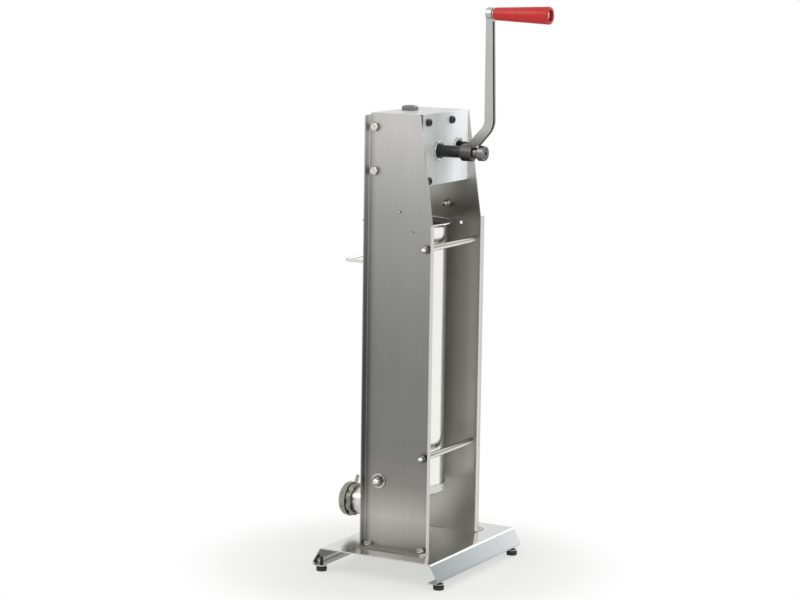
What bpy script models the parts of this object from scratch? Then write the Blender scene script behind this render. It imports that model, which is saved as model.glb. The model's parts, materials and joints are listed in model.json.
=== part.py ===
"""Vertical two-speed sausage stuffer with a seven litre cylinder.

Frame: metres, +Z up, floor at Z = 0. The spout points to -Y, the crank
shafts to +Y, and right means +X. Pieces are built round the cylinder's axis
at X = 0, Y = 0; the last step centres the whole machine on the origin in Y.
"""

import math

import bmesh
import bpy
from mathutils import Matrix, Vector

# Gaps and mesh fineness
CLEARANCE = 0.0003          # between pieces that touch
RUNNING_GAP = 0.0004        # round a turning shaft or in a guide
ON_AXIS = 1e-7
SMALL_TURN = 12             # sides of a small fastener
MEDIUM_TURN = 24
LARGE_TURN = 48
ARC_STEPS = 4
SMOOTH_ANGLE = math.radians(35)

# Cylinder, its carrier and its place over the base
CYLINDER_RADIUS = 0.070
CYLINDER_WALL = 0.001
CYLINDER_LENGTH = 0.4684
RIM_FLARE = 0.009
RIM_LIP = 0.002
RIM_TO_PANEL = 0.007
CUP_HEIGHT = 0.0855          # underside of the carrier cup over the platform
CUP_FLOOR = 0.005
CUP_LIP = 0.010
CUP_WALL = 0.0041
GASKET_THICKNESS = 0.002
GASKET_WIDTH = 0.0019
HANDLE_HALF_WIDTH = 0.045
HANDLE_REACH = 0.098        # bar in front of the cylinder's axis
HANDLE_ROD_RADIUS = 0.003
HANDLE_BEND = 0.010
HANDLE_BELOW_RIM = 0.072

# Base plate and feet
PLATFORM_HEIGHT = 0.0455
BASE_WIDTH = 0.312
BASE_SHEET = 0.002
PLATFORM_FRONT = 0.0765
PLATFORM_REAR = 0.1405
WING_SPREAD = 0.018
LIP_HEIGHT = 0.012          # underside of the return lip over the floor
LIP_LENGTH = 0.022
BASE_BEND = 0.005
FOOT_RADIUS = 0.0095
FOOT_PAD_HEIGHT = 0.007
FOOT_COLLAR_RADIUS = 0.0055
FOOT_STEM_RADIUS = 0.0027
FOOT_STEM_RISE = 0.012
FOOT_INSET = 0.0185          # from the base's end
FOOT_FROM_BEND = 0.0105     # from the wing's outer face

# Side panels
PANEL_SHEET = 0.002
PANEL_FRONT = 0.0287
PANEL_REAR = 0.1015
PANEL_BEND = 0.003
FRONT_FLANGE = 0.0157
REAR_FLANGE = 0.010
FOOT_FLANGE = 0.029
TAPER_STEP = 0.003
TAPER_START_ABOVE_RIM = 0.006
PANEL_BELOW_GEARBOX_TOP = 0.001
PANEL_TOP_CORNER = 0.008
LOCK_HOLE_RADIUS = 0.0025
LOCK_HOLE_BEHIND_AXIS = 0.0606
LOCK_HOLE_BELOW_RIM = 0.0076

# Rods, nuts and bolts of the frame
ROD_RADIUS = 0.0055
ROD_STUD_RADIUS = 0.004
ROD_BEHIND_AXIS = 0.088
LOWER_ROD_HEIGHT = 0.211
UPPER_ROD_BELOW_RIM = 0.035
CAP_NUT_ACROSS = 0.013
CAP_NUT_HEX = 0.0075
CAP_NUT_DOME = 0.0095
FOOT_BOLT_ACROSS = 0.013
FOOT_BOLT_HEAD = 0.0053
FOOT_BOLT_SHANK = 0.003
FOOT_BOLT_LENGTH = 0.010
FOOT_BOLT_OUT = 0.0085      # from the panel's outer face
FOOT_BOLT_FROM_EDGE = 0.0135
STOP_PIN_RADIUS = 0.0022
STOP_PIN_OUT = 0.0025
STOP_BEHIND_AXIS = 0.034
STOP_ABOVE_RIM = 0.0255

# Cylinder pivots
EAR_HALF_WIDTH = 0.013
PIVOT_ABOVE_CUP = 0.030
PIVOT_RADIUS = 0.005
PIVOT_WASHER_RADIUS = 0.0135
PIVOT_WASHER = 0.002
PIVOT_NUT_ACROSS = 0.016
PIVOT_NUT_HEX = 0.007
PIVOT_NUT_DOME = 0.0065

# Outlet below the cup
OUTLET_DROP = 0.0328         # outlet axis below the cup's underside
OUTLET_WELL = 0.038         # well's axis in front of the cylinder's axis
WELL_RADIUS = 0.026
WELL_BORE = 0.021
TUBE_RADIUS = 0.0235
OUTLET_BORE = 0.019
COLLAR_RADIUS = 0.029
COLLAR_START = 0.0925        # rear face of the outlet collar in front of the axis
COLLAR_LENGTH = 0.015
COLLAR_NOTCHES = 8
COLLAR_NOTCH_DEPTH = 0.0028
NECK_LENGTH = 0.0185
RING_NUT_GAP = 0.002
RING_NUT_RADIUS = 0.031
RING_NUT_FACE_RADIUS = 0.026
RING_NUT_BAND = 0.013
RING_NUT_NOSE = 0.0105
RING_NUT_MOUTH = 0.0195
RING_NUT_LIP = 0.004
RING_NUT_NOTCHES = 8
RING_NUT_NOTCH_RADIUS = 0.0055
RING_NUT_LUG_REACH = 0.045
RING_NUT_LUG_WIDTH = 0.008
RING_NUT_LUG_TILT = math.radians(30)

# Gear train
RACK_MODULE = 0.0025
RACK_PINION_TEETH = 13
GEAR_MODULE = 0.002
LARGE_GEAR_TEETH = 50
SMALL_GEAR_TEETH = 20
PRESSURE_ANGLE = math.radians(20)
BACKLASH = 0.0003
STUB_ADDENDUM = 0.75        # of the rack's module
STUB_DEDENDUM = 1.0
FULL_ADDENDUM = 1.0         # of the gears' module
FULL_DEDENDUM = 1.25
FLANK_POINTS = 3
RACK_WIDTH = 0.0188         # from the plain back to the pitch line
RACK_DEPTH = 0.020
RACK_PITCH_X = 0.0058
PISTON_ABOVE_RIM = 0.0096   # piston's underside over the rim at the top of its travel
RACK_TEETH_SPARE = 2
RACK_CAP_ACROSS = 0.025
RACK_CAP_HEIGHT = 0.013
RACK_CAP_CHAMFER = 0.0035
RACK_CAP_SHANK = 0.004
RACK_CAP_SHANK_LENGTH = 0.020
PINION_WIDTH = 0.018
GEAR_GAP = 0.004            # large gear behind the rack
GEAR_WIDTH = 0.010
SMALL_GEAR_EXTRA = 0.002    # wider than the large gear on each side
SHAFT_RADIUS = 0.008
SHAFT_SHOULDER_RADIUS = 0.0115
SECOND_SHAFT_RISE = 0.0035

# Gearbox
GEARBOX_WALL = 0.0025
GEARBOX_FRONT = 0.025
GEARBOX_REAR = 0.0715
COVER_THICKNESS = 0.004
GEAR_ROOM_BELOW = 0.0031
GEAR_ROOM_ABOVE = 0.0099
LOADING_GAP = 0.0694         # cylinder rim to gearbox
GEARBOX_EDGE = 0.004
BUSH_RADIUS = 0.0125
BUSH_FLANGE_RADIUS = 0.017
SECOND_FLANGE_RADIUS = 0.0155
BUSH_FLANGE = 0.003
BUSH_DEPTH = 0.010
SHAFT_TAIL_GAP = 0.002
COVER_SCREW_HEAD = 0.0048
COVER_SCREW_HEAD_HEIGHT = 0.003
COVER_SCREW_RADIUS = 0.002
COVER_SCREW_LENGTH = 0.014
COVER_SCREW_INSET = 0.0140
COVER_SCREW_PLACES = ((0.062, "top"), (-0.0212, "top"), (0.0589, "bottom"))
SIDE_COVER_SCREW_RISE = 0.050
SCREW_POST_HALF_WIDTH = 0.006
SCREW_POST_LENGTH = 0.024
GEARBOX_SCREW_ACROSS = 0.013
GEARBOX_SCREW_HEAD = 0.0075   # with its flange
GEARBOX_SCREW_FLANGE = 0.008
GEARBOX_SCREW_FLANGE_HEIGHT = 0.0018
GEARBOX_SCREW_RADIUS = 0.004
GEARBOX_SCREW_BEHIND_EDGE = 0.0141
GEARBOX_SCREW_INSET = 0.0236

# Piston
PISTON_RADIUS = 0.0676
PISTON_PLATE = 0.007
PISTON_SEAL_RADIUS = 0.0687
PISTON_SEAL_INNER = 0.052
PISTON_SEAL_HEIGHT = 0.009
PISTON_TOP_RADIUS = 0.066
PISTON_TOP_PLATE = 0.004
PISTON_CHAMFER = 0.0015
PISTON_BOLT_ACROSS = 0.017
PISTON_BOLT_HEAD = 0.005
PISTON_BOLT_RADIUS = 0.005
PISTON_BOLT_GRIP = 0.022
COUNTERBORE = 0.0115
VALVE_OFFSET = 0.040
VALVE_STEM = 0.0035
VALVE_HEAD = 0.007
VALVE_HEAD_HEIGHT = 0.002
VALVE_CAP = 0.006
VALVE_CAP_HEIGHT = 0.004
VALVE_TRAVEL = 0.003
VALVE_POCKET = 0.0078

# Crank and grip
CRANK_THROW = 0.2353
STUB_LENGTH = 0.015         # second shaft outside its bush
SLEEVE_COLLAR_RADIUS = 0.0125
SLEEVE_COLLAR = 0.0035
SLEEVE_RADIUS = 0.0103
SLEEVE_LENGTH = 0.043
HUB_RADIUS = 0.0148
HUB_LENGTH = 0.0215
HUB_RIB = 0.0012
HUB_RIBS = 8
KNOB_NECK_RADIUS = 0.0115
KNOB_NECK = 0.0085
KNOB_RADIUS = 0.013
KNOB_LENGTH = 0.014
KNOB_LOBES = 6
KNOB_LOBE_DEPTH = 0.0022
KNOB_BORE_DEPTH = 0.009
ARM_WIDTH_LOW = 0.016
ARM_WIDTH_HIGH = 0.0105
ARM_THICKNESS = 0.014
ARM_OUT = 0.0375            # arm's top end behind the hub's centre
ARM_LEAN = 0.003            # arm's bend behind its top end
ARM_BEND_RISE = 0.0443
ARM_START_RISE = 0.002
ARM_BEND_RADIUS = 0.028
ARM_BEND_STEPS = 7
GROOVE_WIDTH = 0.0065
GROOVE_DEPTH = 0.0095
GROOVE_FROM_HUB = 0.020
GROOVE_FROM_EYE = 0.013
EYE_RADIUS = 0.0108
EYE_LENGTH = 0.0108
GRIP_SPACER = 0.002
GRIP_LENGTH = 0.1035
GRIP_RADIUS_INNER = 0.0108
GRIP_RADIUS_OUTER = 0.0150
GRIP_EDGE = 0.002
GRIP_RECESS_RADIUS = 0.0095
GRIP_RECESS_DEPTH = 0.007
AXLE_RADIUS = 0.004
AXLE_HEAD_RADIUS = 0.007
AXLE_HEAD = 0.0035
SPACER_RADIUS = 0.0085

# Places that follow from the sizes
PANEL_INNER = CYLINDER_RADIUS + RIM_FLARE + RIM_TO_PANEL
PANEL_OUTER = PANEL_INNER + PANEL_SHEET
CUP_BOTTOM = PLATFORM_HEIGHT + CUP_HEIGHT
CUP_TOP = CUP_BOTTOM + CUP_FLOOR
CUP_INNER = CYLINDER_RADIUS + RUNNING_GAP
CYLINDER_BORE = CYLINDER_RADIUS - CYLINDER_WALL
CYLINDER_BOTTOM = CUP_TOP + GASKET_THICKNESS + 2 * CLEARANCE
CYLINDER_TOP = CYLINDER_BOTTOM + CYLINDER_LENGTH
PIVOT_HEIGHT = CUP_BOTTOM + PIVOT_ABOVE_CUP
OUTLET_HEIGHT = CUP_BOTTOM - OUTLET_DROP
LARGE_GEAR_RADIUS = GEAR_MODULE * LARGE_GEAR_TEETH / 2
SMALL_GEAR_RADIUS = GEAR_MODULE * SMALL_GEAR_TEETH / 2
PINION_RADIUS = RACK_MODULE * RACK_PINION_TEETH / 2
LARGE_GEAR_TIP = LARGE_GEAR_RADIUS + FULL_ADDENDUM * GEAR_MODULE
GEARBOX_BOTTOM = CYLINDER_TOP + LOADING_GAP
MAIN_X = RACK_PITCH_X + PINION_RADIUS
MAIN_Z = GEARBOX_BOTTOM + GEARBOX_WALL + GEAR_ROOM_BELOW + LARGE_GEAR_TIP
GEARBOX_TOP = MAIN_Z + LARGE_GEAR_TIP + GEAR_ROOM_ABOVE + GEARBOX_WALL
PANEL_TOP = GEARBOX_TOP - PANEL_BELOW_GEARBOX_TOP
CENTRE_DISTANCE = LARGE_GEAR_RADIUS + SMALL_GEAR_RADIUS
SECOND_X = MAIN_X - math.sqrt(CENTRE_DISTANCE ** 2 - SECOND_SHAFT_RISE ** 2)
SECOND_Z = MAIN_Z + SECOND_SHAFT_RISE
COVER_FRONT = GEARBOX_REAR - COVER_THICKNESS
GEARBOX_HALF_WIDTH = PANEL_INNER - CLEARANCE
RACK_TIP_X = RACK_PITCH_X + STUB_ADDENDUM * RACK_MODULE
RACK_ROOT_X = RACK_PITCH_X - STUB_DEDENDUM * RACK_MODULE
RACK_BACK_X = RACK_PITCH_X - RACK_WIDTH
RACK_MIDDLE_X = (RACK_BACK_X + RACK_ROOT_X) / 2
GEAR_START = RACK_DEPTH / 2 + GEAR_GAP
PISTON_BOTTOM = CUP_TOP + 2 * CLEARANCE
PISTON_TRAVEL = CYLINDER_TOP + PISTON_ABOVE_RIM - PISTON_BOTTOM
SEAL_BOTTOM = PISTON_BOTTOM + PISTON_PLATE + CLEARANCE
TOP_PLATE_BOTTOM = SEAL_BOTTOM + PISTON_SEAL_HEIGHT + CLEARANCE
TOP_PLATE_TOP = TOP_PLATE_BOTTOM + PISTON_TOP_PLATE
RACK_BOTTOM = TOP_PLATE_TOP + CLEARANCE
RACK_TOP = GEARBOX_TOP
BUSH_FACE = GEARBOX_REAR + CLEARANCE + BUSH_FLANGE
SLEEVE_START = BUSH_FACE + CLEARANCE
HUB_START = SLEEVE_START + SLEEVE_LENGTH + CLEARANCE
HUB_END = HUB_START + HUB_LENGTH
HUB_MIDDLE = HUB_START + HUB_LENGTH / 2
KNOB_START = HUB_END + CLEARANCE
GRIP_Z = MAIN_Z + CRANK_THROW
ARM_MIDDLE_Y = HUB_MIDDLE + ARM_OUT
EYE_START = ARM_MIDDLE_Y - ARM_WIDTH_HIGH / 2
EYE_END = EYE_START + EYE_LENGTH
GRIP_START = EYE_END + GRIP_SPACER + 2 * CLEARANCE
GRIP_END = GRIP_START + GRIP_LENGTH
OUTLET_COLLAR_FRONT = COLLAR_START + COLLAR_LENGTH
RING_NUT_START = OUTLET_COLLAR_FRONT + RING_NUT_GAP
NECK_END = OUTLET_COLLAR_FRONT + NECK_LENGTH
RING_NUT_END = RING_NUT_START + RING_NUT_BAND + RING_NUT_NOSE
FOOT_FRONT_Y = -(PLATFORM_FRONT + WING_SPREAD - FOOT_FROM_BEND)
FOOT_REAR_Y = PLATFORM_REAR + WING_SPREAD - FOOT_FROM_BEND
FOOT_X = BASE_WIDTH / 2 - FOOT_INSET
UPPER_ROD_HEIGHT = CYLINDER_TOP - UPPER_ROD_BELOW_RIM
PANEL_FOOT_BOTTOM = PLATFORM_HEIGHT + CLEARANCE
PANEL_FOOT_TOP = PANEL_FOOT_BOTTOM + PANEL_SHEET

ALONG_X = Matrix.Rotation(math.pi / 2, 4, "Y")
ALONG_Y = Matrix.Rotation(-math.pi / 2, 4, "X")
TOWARDS_FRONT = Matrix.Rotation(math.pi / 2, 4, "X")
SIDES = (("right", 1), ("left", -1))


def material(name, colour, roughness, metallic):
    """Return a Principled material of one colour."""
    made = bpy.data.materials.new(name)
    made.use_nodes = True
    shader = made.node_tree.nodes["Principled BSDF"]
    shader.inputs["Base Color"].default_value = (*colour, 1.0)
    shader.inputs["Roughness"].default_value = roughness
    shader.inputs["Metallic"].default_value = metallic
    return made


def add_object(name, body, finish, parent=None, angle=SMOOTH_ANGLE):
    """Turn a bmesh in world coordinates into a named object, and hang it on its body's axis."""
    bmesh.ops.recalc_face_normals(body, faces=body.faces)
    origin = parent.location if parent else Vector((0.0, 0.0, 0.0))
    body.transform(Matrix.Translation(-origin))
    mesh = bpy.data.meshes.new(name)
    body.to_mesh(mesh)
    body.free()
    mesh.materials.append(finish)
    mesh.shade_smooth()
    mesh.set_sharp_from_angle(angle=angle)
    made = bpy.data.objects.new(name, mesh)
    bpy.context.scene.collection.objects.link(made)
    made.parent = parent
    return made


def add_axis(name, place):
    """Return an empty that marks a moving body's joint axis."""
    empty = bpy.data.objects.new(name, None)
    empty.location = place
    bpy.context.scene.collection.objects.link(empty)
    return empty


def boolean(target, name, tool, operation="DIFFERENCE"):
    """Cut or join a bmesh tool into an object with a live modifier."""
    bmesh.ops.recalc_face_normals(tool, faces=tool.faces)
    bmesh.ops.triangulate(tool, faces=tool.faces)
    mesh = bpy.data.meshes.new(name)
    tool.to_mesh(mesh)
    tool.free()
    guide = bpy.data.objects.new(name, mesh)
    bpy.context.scene.collection.objects.link(guide)
    guide.hide_render = True
    guide.display_type = "WIRE"
    modifier = target.modifiers.new(name, "BOOLEAN")
    modifier.object = guide
    modifier.operation = operation
    modifier.solver = "EXACT"


def placed(body, *steps):
    """Move a bmesh by matrices, the first one first."""
    for step in steps:
        body.transform(step)
    return body


def shift(x=0.0, y=0.0, z=0.0):
    """Return a translation."""
    return Matrix.Translation((x, y, z))


def together(*bodies):
    """Put several bmeshes into the first one."""
    whole = bodies[0]
    for body in bodies[1:]:
        mesh = bpy.data.meshes.new("joined")
        body.to_mesh(mesh)
        body.free()
        whole.from_mesh(mesh)
        bpy.data.meshes.remove(mesh)
    return whole


def revolved(profile, turn=MEDIUM_TURN):
    """Solid of revolution about Z from a closed outline of (radius, height) points."""
    body = bmesh.new()
    rings = []
    for radius, height in profile:
        if radius < ON_AXIS:
            rings.append([body.verts.new((0.0, 0.0, height))])
            continue
        angles = [2 * math.pi * step / turn for step in range(turn)]
        rings.append([body.verts.new((radius * math.cos(a), radius * math.sin(a), height)) for a in angles])
    for ring, following in zip(rings, rings[1:] + rings[:1]):
        if len(ring) == len(following) == 1:
            continue
        for i in range(turn):
            j = (i + 1) % turn
            corners = (ring[i % len(ring)], ring[j % len(ring)],
                       following[j % len(following)], following[i % len(following)])
            body.faces.new(list(dict.fromkeys(corners)))
    return body


def prism(outline, low, high):
    """Solid between two Z heights over a closed XY outline."""
    body = bmesh.new()
    bottom = [body.verts.new((x, y, low)) for x, y in outline]
    top = [body.verts.new((x, y, high)) for x, y in outline]
    count = len(outline)
    for i in range(count):
        j = (i + 1) % count
        body.faces.new((bottom[i], bottom[j], top[j], top[i]))
    body.faces.new(top)
    body.faces.new(list(reversed(bottom)))
    return body


def block(low, high):
    """Box between two corners."""
    outline = ((low[0], low[1]), (high[0], low[1]), (high[0], high[1]), (low[0], high[1]))
    return prism(outline, low[2], high[2])


def rod(radius, low, high, turn=MEDIUM_TURN):
    """Plain round bar along Z."""
    return revolved(((0.0, low), (radius, low), (radius, high), (0.0, high)), turn)


def tube(outer, inner, low, high, turn=MEDIUM_TURN):
    """Round bar with a bore, along Z."""
    return revolved(((inner, low), (outer, low), (outer, high), (inner, high)), turn)


def rounded(points, radius, closed=True, steps=ARC_STEPS):
    """Round the corners of an outline or a path with arcs."""
    shape = []
    count = len(points)
    for i, point in enumerate(points):
        if not closed and i in (0, count - 1):
            shape.append(tuple(point))
            continue
        here = Vector(point)
        back = (Vector(points[i - 1]) - here).normalized()
        ahead = (Vector(points[(i + 1) % count]) - here).normalized()
        half = back.angle(ahead) / 2
        centre = here + (back + ahead).normalized() * radius / math.sin(half)
        start = here + back * radius / math.tan(half) - centre
        end = here + ahead * radius / math.tan(half) - centre
        first = math.atan2(start.y, start.x)
        sweep = (math.atan2(end.y, end.x) - first + math.pi) % (2 * math.pi) - math.pi
        for step in range(steps + 1):
            angle = first + sweep * step / steps
            shape.append((centre.x + radius * math.cos(angle), centre.y + radius * math.sin(angle)))
    return shape


def strip(path, widths):
    """Closed outline of a strip along a path, with the strip's width at each point."""
    left, right = [], []
    for i, point in enumerate(path):
        before = Vector(path[max(i - 1, 0)])
        after = Vector(path[min(i + 1, len(path) - 1)])
        along = (after - before).normalized()
        across = Vector((-along.y, along.x)) * widths[i] / 2
        left.append(tuple(Vector(point) + across))
        right.append(tuple(Vector(point) - across))
    return left + right[::-1]


def hexed(body, across, above=0.0):
    """Clip a turned piece to a hexagon of the given width across its flats, above a height."""
    for vertex in body.verts:
        reach = math.hypot(vertex.co.x, vertex.co.y)
        turn = (math.atan2(vertex.co.y, vertex.co.x) + math.pi / 6) % (math.pi / 3) - math.pi / 6
        limit = across / 2 / math.cos(turn)
        if reach > limit and vertex.co.z >= above:
            vertex.co.x *= limit / reach
            vertex.co.y *= limit / reach
    return body


def dome_profile(radius, low, height, steps=3):
    """Points of a domed end from its rim to its pole."""
    turns = [math.pi / 2 * step / steps for step in range(steps + 1)]
    return [(radius * math.cos(a) if a < math.pi / 2 else 0.0, low + height * math.sin(a)) for a in turns]


def screw_head(radius, height, shank, length, turn=SMALL_TURN):
    """Domed screw: the shank runs down from Z = 0 and the head up."""
    outline = [(0.0, -length), (shank, -length), (shank, 0.0), (radius, 0.0)]
    outline += dome_profile(radius, height / 2, height / 2)
    return revolved(outline, turn)


def hex_bolt(across, head, shank, length, flange=0.0, flange_height=0.0):
    """Hexagon bolt: the shank runs down from Z = 0 and the head up, over a flange if it has one."""
    corner = across / math.sqrt(3)
    outline = [(0.0, -length), (shank, -length), (shank, 0.0)]
    if flange:
        outline += [(flange, 0.0), (flange, 0.6 * flange_height)]
    outline += [(corner, flange_height), (corner, 0.85 * head), (0.47 * across, head), (0.0, head)]
    return hexed(revolved(outline, SMALL_TURN), across, flange_height)


def cap_nut(across, hexagon_height, dome, bore, depth):
    """Dome nut standing on Z = 0 with a blind hole from below."""
    corner = across / math.sqrt(3)
    outline = [(bore, 0.0), (corner, 0.0), (corner, 0.85 * hexagon_height), (across / 2, hexagon_height)]
    outline += dome_profile(across * 0.45, hexagon_height, dome)
    outline += [(0.0, depth), (bore, depth)]
    return hexed(revolved(outline, SMALL_TURN), across)


def involute(angle):
    """Involute function of an angle."""
    return math.tan(angle) - angle


def gear_outline(teeth, module, addendum, dedendum, phase=0.0):
    """Spur gear outline with involute flanks, one tooth centred on the phase angle."""
    pitch = module * teeth / 2
    base = pitch * math.cos(PRESSURE_ANGLE)
    tip = pitch + addendum * module
    root = pitch - dedendum * module
    half_pitch = math.pi / (2 * teeth) - BACKLASH / (2 * pitch) + involute(PRESSURE_ANGLE)
    start = max(base, root)
    radii = [start + (tip - start) * k / (FLANK_POINTS - 1) for k in range(FLANK_POINTS)]
    flank = [(r, half_pitch - involute(math.acos(min(1.0, base / r)))) for r in radii]
    if root < base:
        flank.insert(0, (root, flank[0][1]))
    outline = []
    for tooth in range(teeth):
        centre = phase + 2 * math.pi * tooth / teeth
        rising = [(r, centre - half) for r, half in flank]
        falling = [(r, centre + half) for r, half in reversed(flank)]
        outline += [(r * math.cos(a), r * math.sin(a)) for r, a in rising + falling]
    return outline


def rack_outline():
    """Rack outline in X and Z, with a tooth level with the main shaft."""
    pitch = math.pi * RACK_MODULE
    slope = math.tan(PRESSURE_ANGLE)
    half_tooth = pitch / 4 - BACKLASH / 2
    tip_half = half_tooth - STUB_ADDENDUM * RACK_MODULE * slope
    root_half = half_tooth + STUB_DEDENDUM * RACK_MODULE * slope
    lowest = -(math.ceil(PISTON_TRAVEL / pitch) + RACK_TEETH_SPARE)
    outline = [(RACK_BACK_X, RACK_BOTTOM), (RACK_TIP_X, RACK_BOTTOM)]
    for tooth in range(lowest, RACK_TEETH_SPARE + 1):
        centre = MAIN_Z + tooth * pitch
        gap_start = centre + tip_half
        gap_end = centre + pitch - tip_half
        outline += [(RACK_TIP_X, gap_start), (RACK_ROOT_X, centre + root_half),
                    (RACK_ROOT_X, centre + pitch - root_half), (RACK_TIP_X, gap_end)]
    return outline + [(RACK_TIP_X, RACK_TOP), (RACK_BACK_X, RACK_TOP)]


def on_shaft(body, start, x=MAIN_X, z=MAIN_Z):
    """Lay a piece that stands on Z = 0 along +Y, from a start on a shaft's axis."""
    return placed(body, ALONG_Y, shift(x, start, z))


def scalloped_circle(radius, notches, depth):
    """Round outline with hollows spread round it."""
    steps = 6 * notches
    outline = []
    for k in range(steps):
        angle = 2 * math.pi * k / steps
        dip = max(0.0, math.cos(notches * angle))
        outline.append(((radius - depth * dip) * math.cos(angle), (radius - depth * dip) * math.sin(angle)))
    return outline


def scalloped(radius, notch_radius, notches, length):
    """Round cutters spread round a rim, standing on Z = 0."""
    cutters = []
    for k in range(notches):
        angle = 2 * math.pi * (k + 0.5) / notches
        cutter = rod(notch_radius, -CLEARANCE, length + CLEARANCE, SMALL_TURN)
        cutters.append(placed(cutter, shift(radius * math.cos(angle), radius * math.sin(angle))))
    return together(*cutters)


def build_base(steel):
    """Bent base plate: platform, two sloping wings and their return lips."""
    middle = PLATFORM_HEIGHT - BASE_SHEET / 2
    lip = LIP_HEIGHT + BASE_SHEET / 2
    front, rear = -PLATFORM_FRONT, PLATFORM_REAR
    path = [(front - WING_SPREAD + LIP_LENGTH, lip), (front - WING_SPREAD, lip), (front, middle),
            (rear, middle), (rear + WING_SPREAD, lip), (rear + WING_SPREAD - LIP_LENGTH, lip)]
    curve = rounded(path, BASE_BEND, closed=False)
    outline = strip(curve, [BASE_SHEET] * len(curve))
    half = BASE_WIDTH / 2
    body = placed(prism(outline, -half, half), Matrix.Rotation(math.pi / 2, 4, "X"),
                  Matrix.Rotation(math.pi / 2, 4, "Z"))
    base = add_object("base_plate", body, steel)
    holes = []
    for x, y in foot_places():
        holes.append(placed(rod(FOOT_STEM_RADIUS + RUNNING_GAP, 0.0, LIP_HEIGHT + 2 * BASE_SHEET,
                                SMALL_TURN), shift(x, y)))
    for x, y in foot_bolt_places():
        holes.append(placed(rod(FOOT_BOLT_SHANK + RUNNING_GAP, PLATFORM_HEIGHT - 2 * BASE_SHEET,
                                PLATFORM_HEIGHT + BASE_SHEET, SMALL_TURN), shift(x, y)))
    boolean(base, "cut_base_holes", together(*holes))


def foot_places():
    """Centres of the four feet."""
    return [(side * FOOT_X, y) for y in (FOOT_FRONT_Y, FOOT_REAR_Y) for side in (1, -1)]


def foot_bolt_places():
    """Centres of the four bolts through the panels' foot flanges."""
    x = PANEL_OUTER + FOOT_BOLT_OUT
    front = -PANEL_FRONT + FOOT_BOLT_FROM_EDGE
    rear = PANEL_REAR - FOOT_BOLT_FROM_EDGE
    return [(side * x, y) for y in (front, rear) for side in (1, -1)]


def build_feet(rubber):
    """Four rubber feet on stems that pass through the return lips."""
    collar_top = LIP_HEIGHT - CLEARANCE
    outline = ((0.0, 0.0), (FOOT_RADIUS - CLEARANCE, 0.0), (FOOT_RADIUS, FOOT_PAD_HEIGHT / 3),
               (FOOT_RADIUS, FOOT_PAD_HEIGHT), (FOOT_COLLAR_RADIUS, FOOT_PAD_HEIGHT),
               (FOOT_COLLAR_RADIUS, collar_top), (FOOT_STEM_RADIUS, collar_top),
               (FOOT_STEM_RADIUS, LIP_HEIGHT + FOOT_STEM_RISE), (0.0, LIP_HEIGHT + FOOT_STEM_RISE))
    names = ("foot_front_right", "foot_front_left", "foot_rear_right", "foot_rear_left")
    for name, (x, y) in zip(names, foot_places()):
        add_object(name, placed(revolved(outline, SMALL_TURN + 4), shift(x, y)), rubber)


def build_panels(steel):
    """Two side panels with folded front, rear and foot flanges and a tapered top."""
    half_sheet = PANEL_SHEET / 2
    middle = PANEL_INNER + half_sheet
    section = [(PANEL_OUTER + FRONT_FLANGE - PANEL_SHEET, -PANEL_FRONT + half_sheet),
               (middle, -PANEL_FRONT + half_sheet),
               (middle, PANEL_REAR - half_sheet), (PANEL_OUTER + REAR_FLANGE - PANEL_SHEET,
                                                   PANEL_REAR - half_sheet)]
    curve = rounded(section, PANEL_BEND - half_sheet, closed=False)
    outline = strip(curve, [PANEL_SHEET] * len(curve))
    taper_low = CYLINDER_TOP + TAPER_START_ABOVE_RIM
    beyond = PANEL_REAR + PANEL_SHEET
    above = PANEL_TOP + PANEL_SHEET
    taper = [(PANEL_REAR - TAPER_STEP, taper_low), (beyond, taper_low), (beyond, above),
             (GEARBOX_REAR, above), (GEARBOX_REAR, PANEL_TOP)]
    corner = rounded([(-PANEL_FRONT, PANEL_TOP - PANEL_TOP_CORNER), (-PANEL_FRONT, PANEL_TOP),
                      (-PANEL_FRONT + PANEL_TOP_CORNER,
                       PANEL_TOP)], PANEL_TOP_CORNER - CLEARANCE, closed=False)
    corner = [(-PANEL_FRONT - PANEL_SHEET, PANEL_TOP - PANEL_TOP_CORNER)] + corner + [
        (-PANEL_FRONT + PANEL_TOP_CORNER, above), (-PANEL_FRONT - PANEL_SHEET, above)]
    upright = Matrix.Rotation(math.pi / 2, 4, "X")
    outward = Matrix.Rotation(math.pi / 2, 4, "Z")
    reach = PANEL_OUTER + FOOT_FLANGE + PANEL_SHEET
    for name, side in SIDES:
        mirror = Matrix.Scale(side, 4, (1, 0, 0))
        shell = placed(prism(outline, PANEL_FOOT_BOTTOM + half_sheet, PANEL_TOP), mirror)
        panel = add_object(f"side_panel_{name}", shell, steel)
        foot = block((PANEL_INNER + CLEARANCE, -PANEL_FRONT, PANEL_FOOT_BOTTOM),
                     (PANEL_OUTER + FOOT_FLANGE, PANEL_REAR, PANEL_FOOT_TOP))
        boolean(panel, f"join_foot_{name}", placed(foot, mirror), "UNION")
        cut = together(placed(prism(taper, PANEL_INNER - PANEL_SHEET, reach), upright, outward, mirror),
                       placed(prism(corner, PANEL_INNER - PANEL_SHEET, reach), upright, outward, mirror))
        boolean(panel, f"cut_top_{name}", cut)
        boolean(panel, f"cut_holes_{name}", panel_holes(side))


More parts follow.
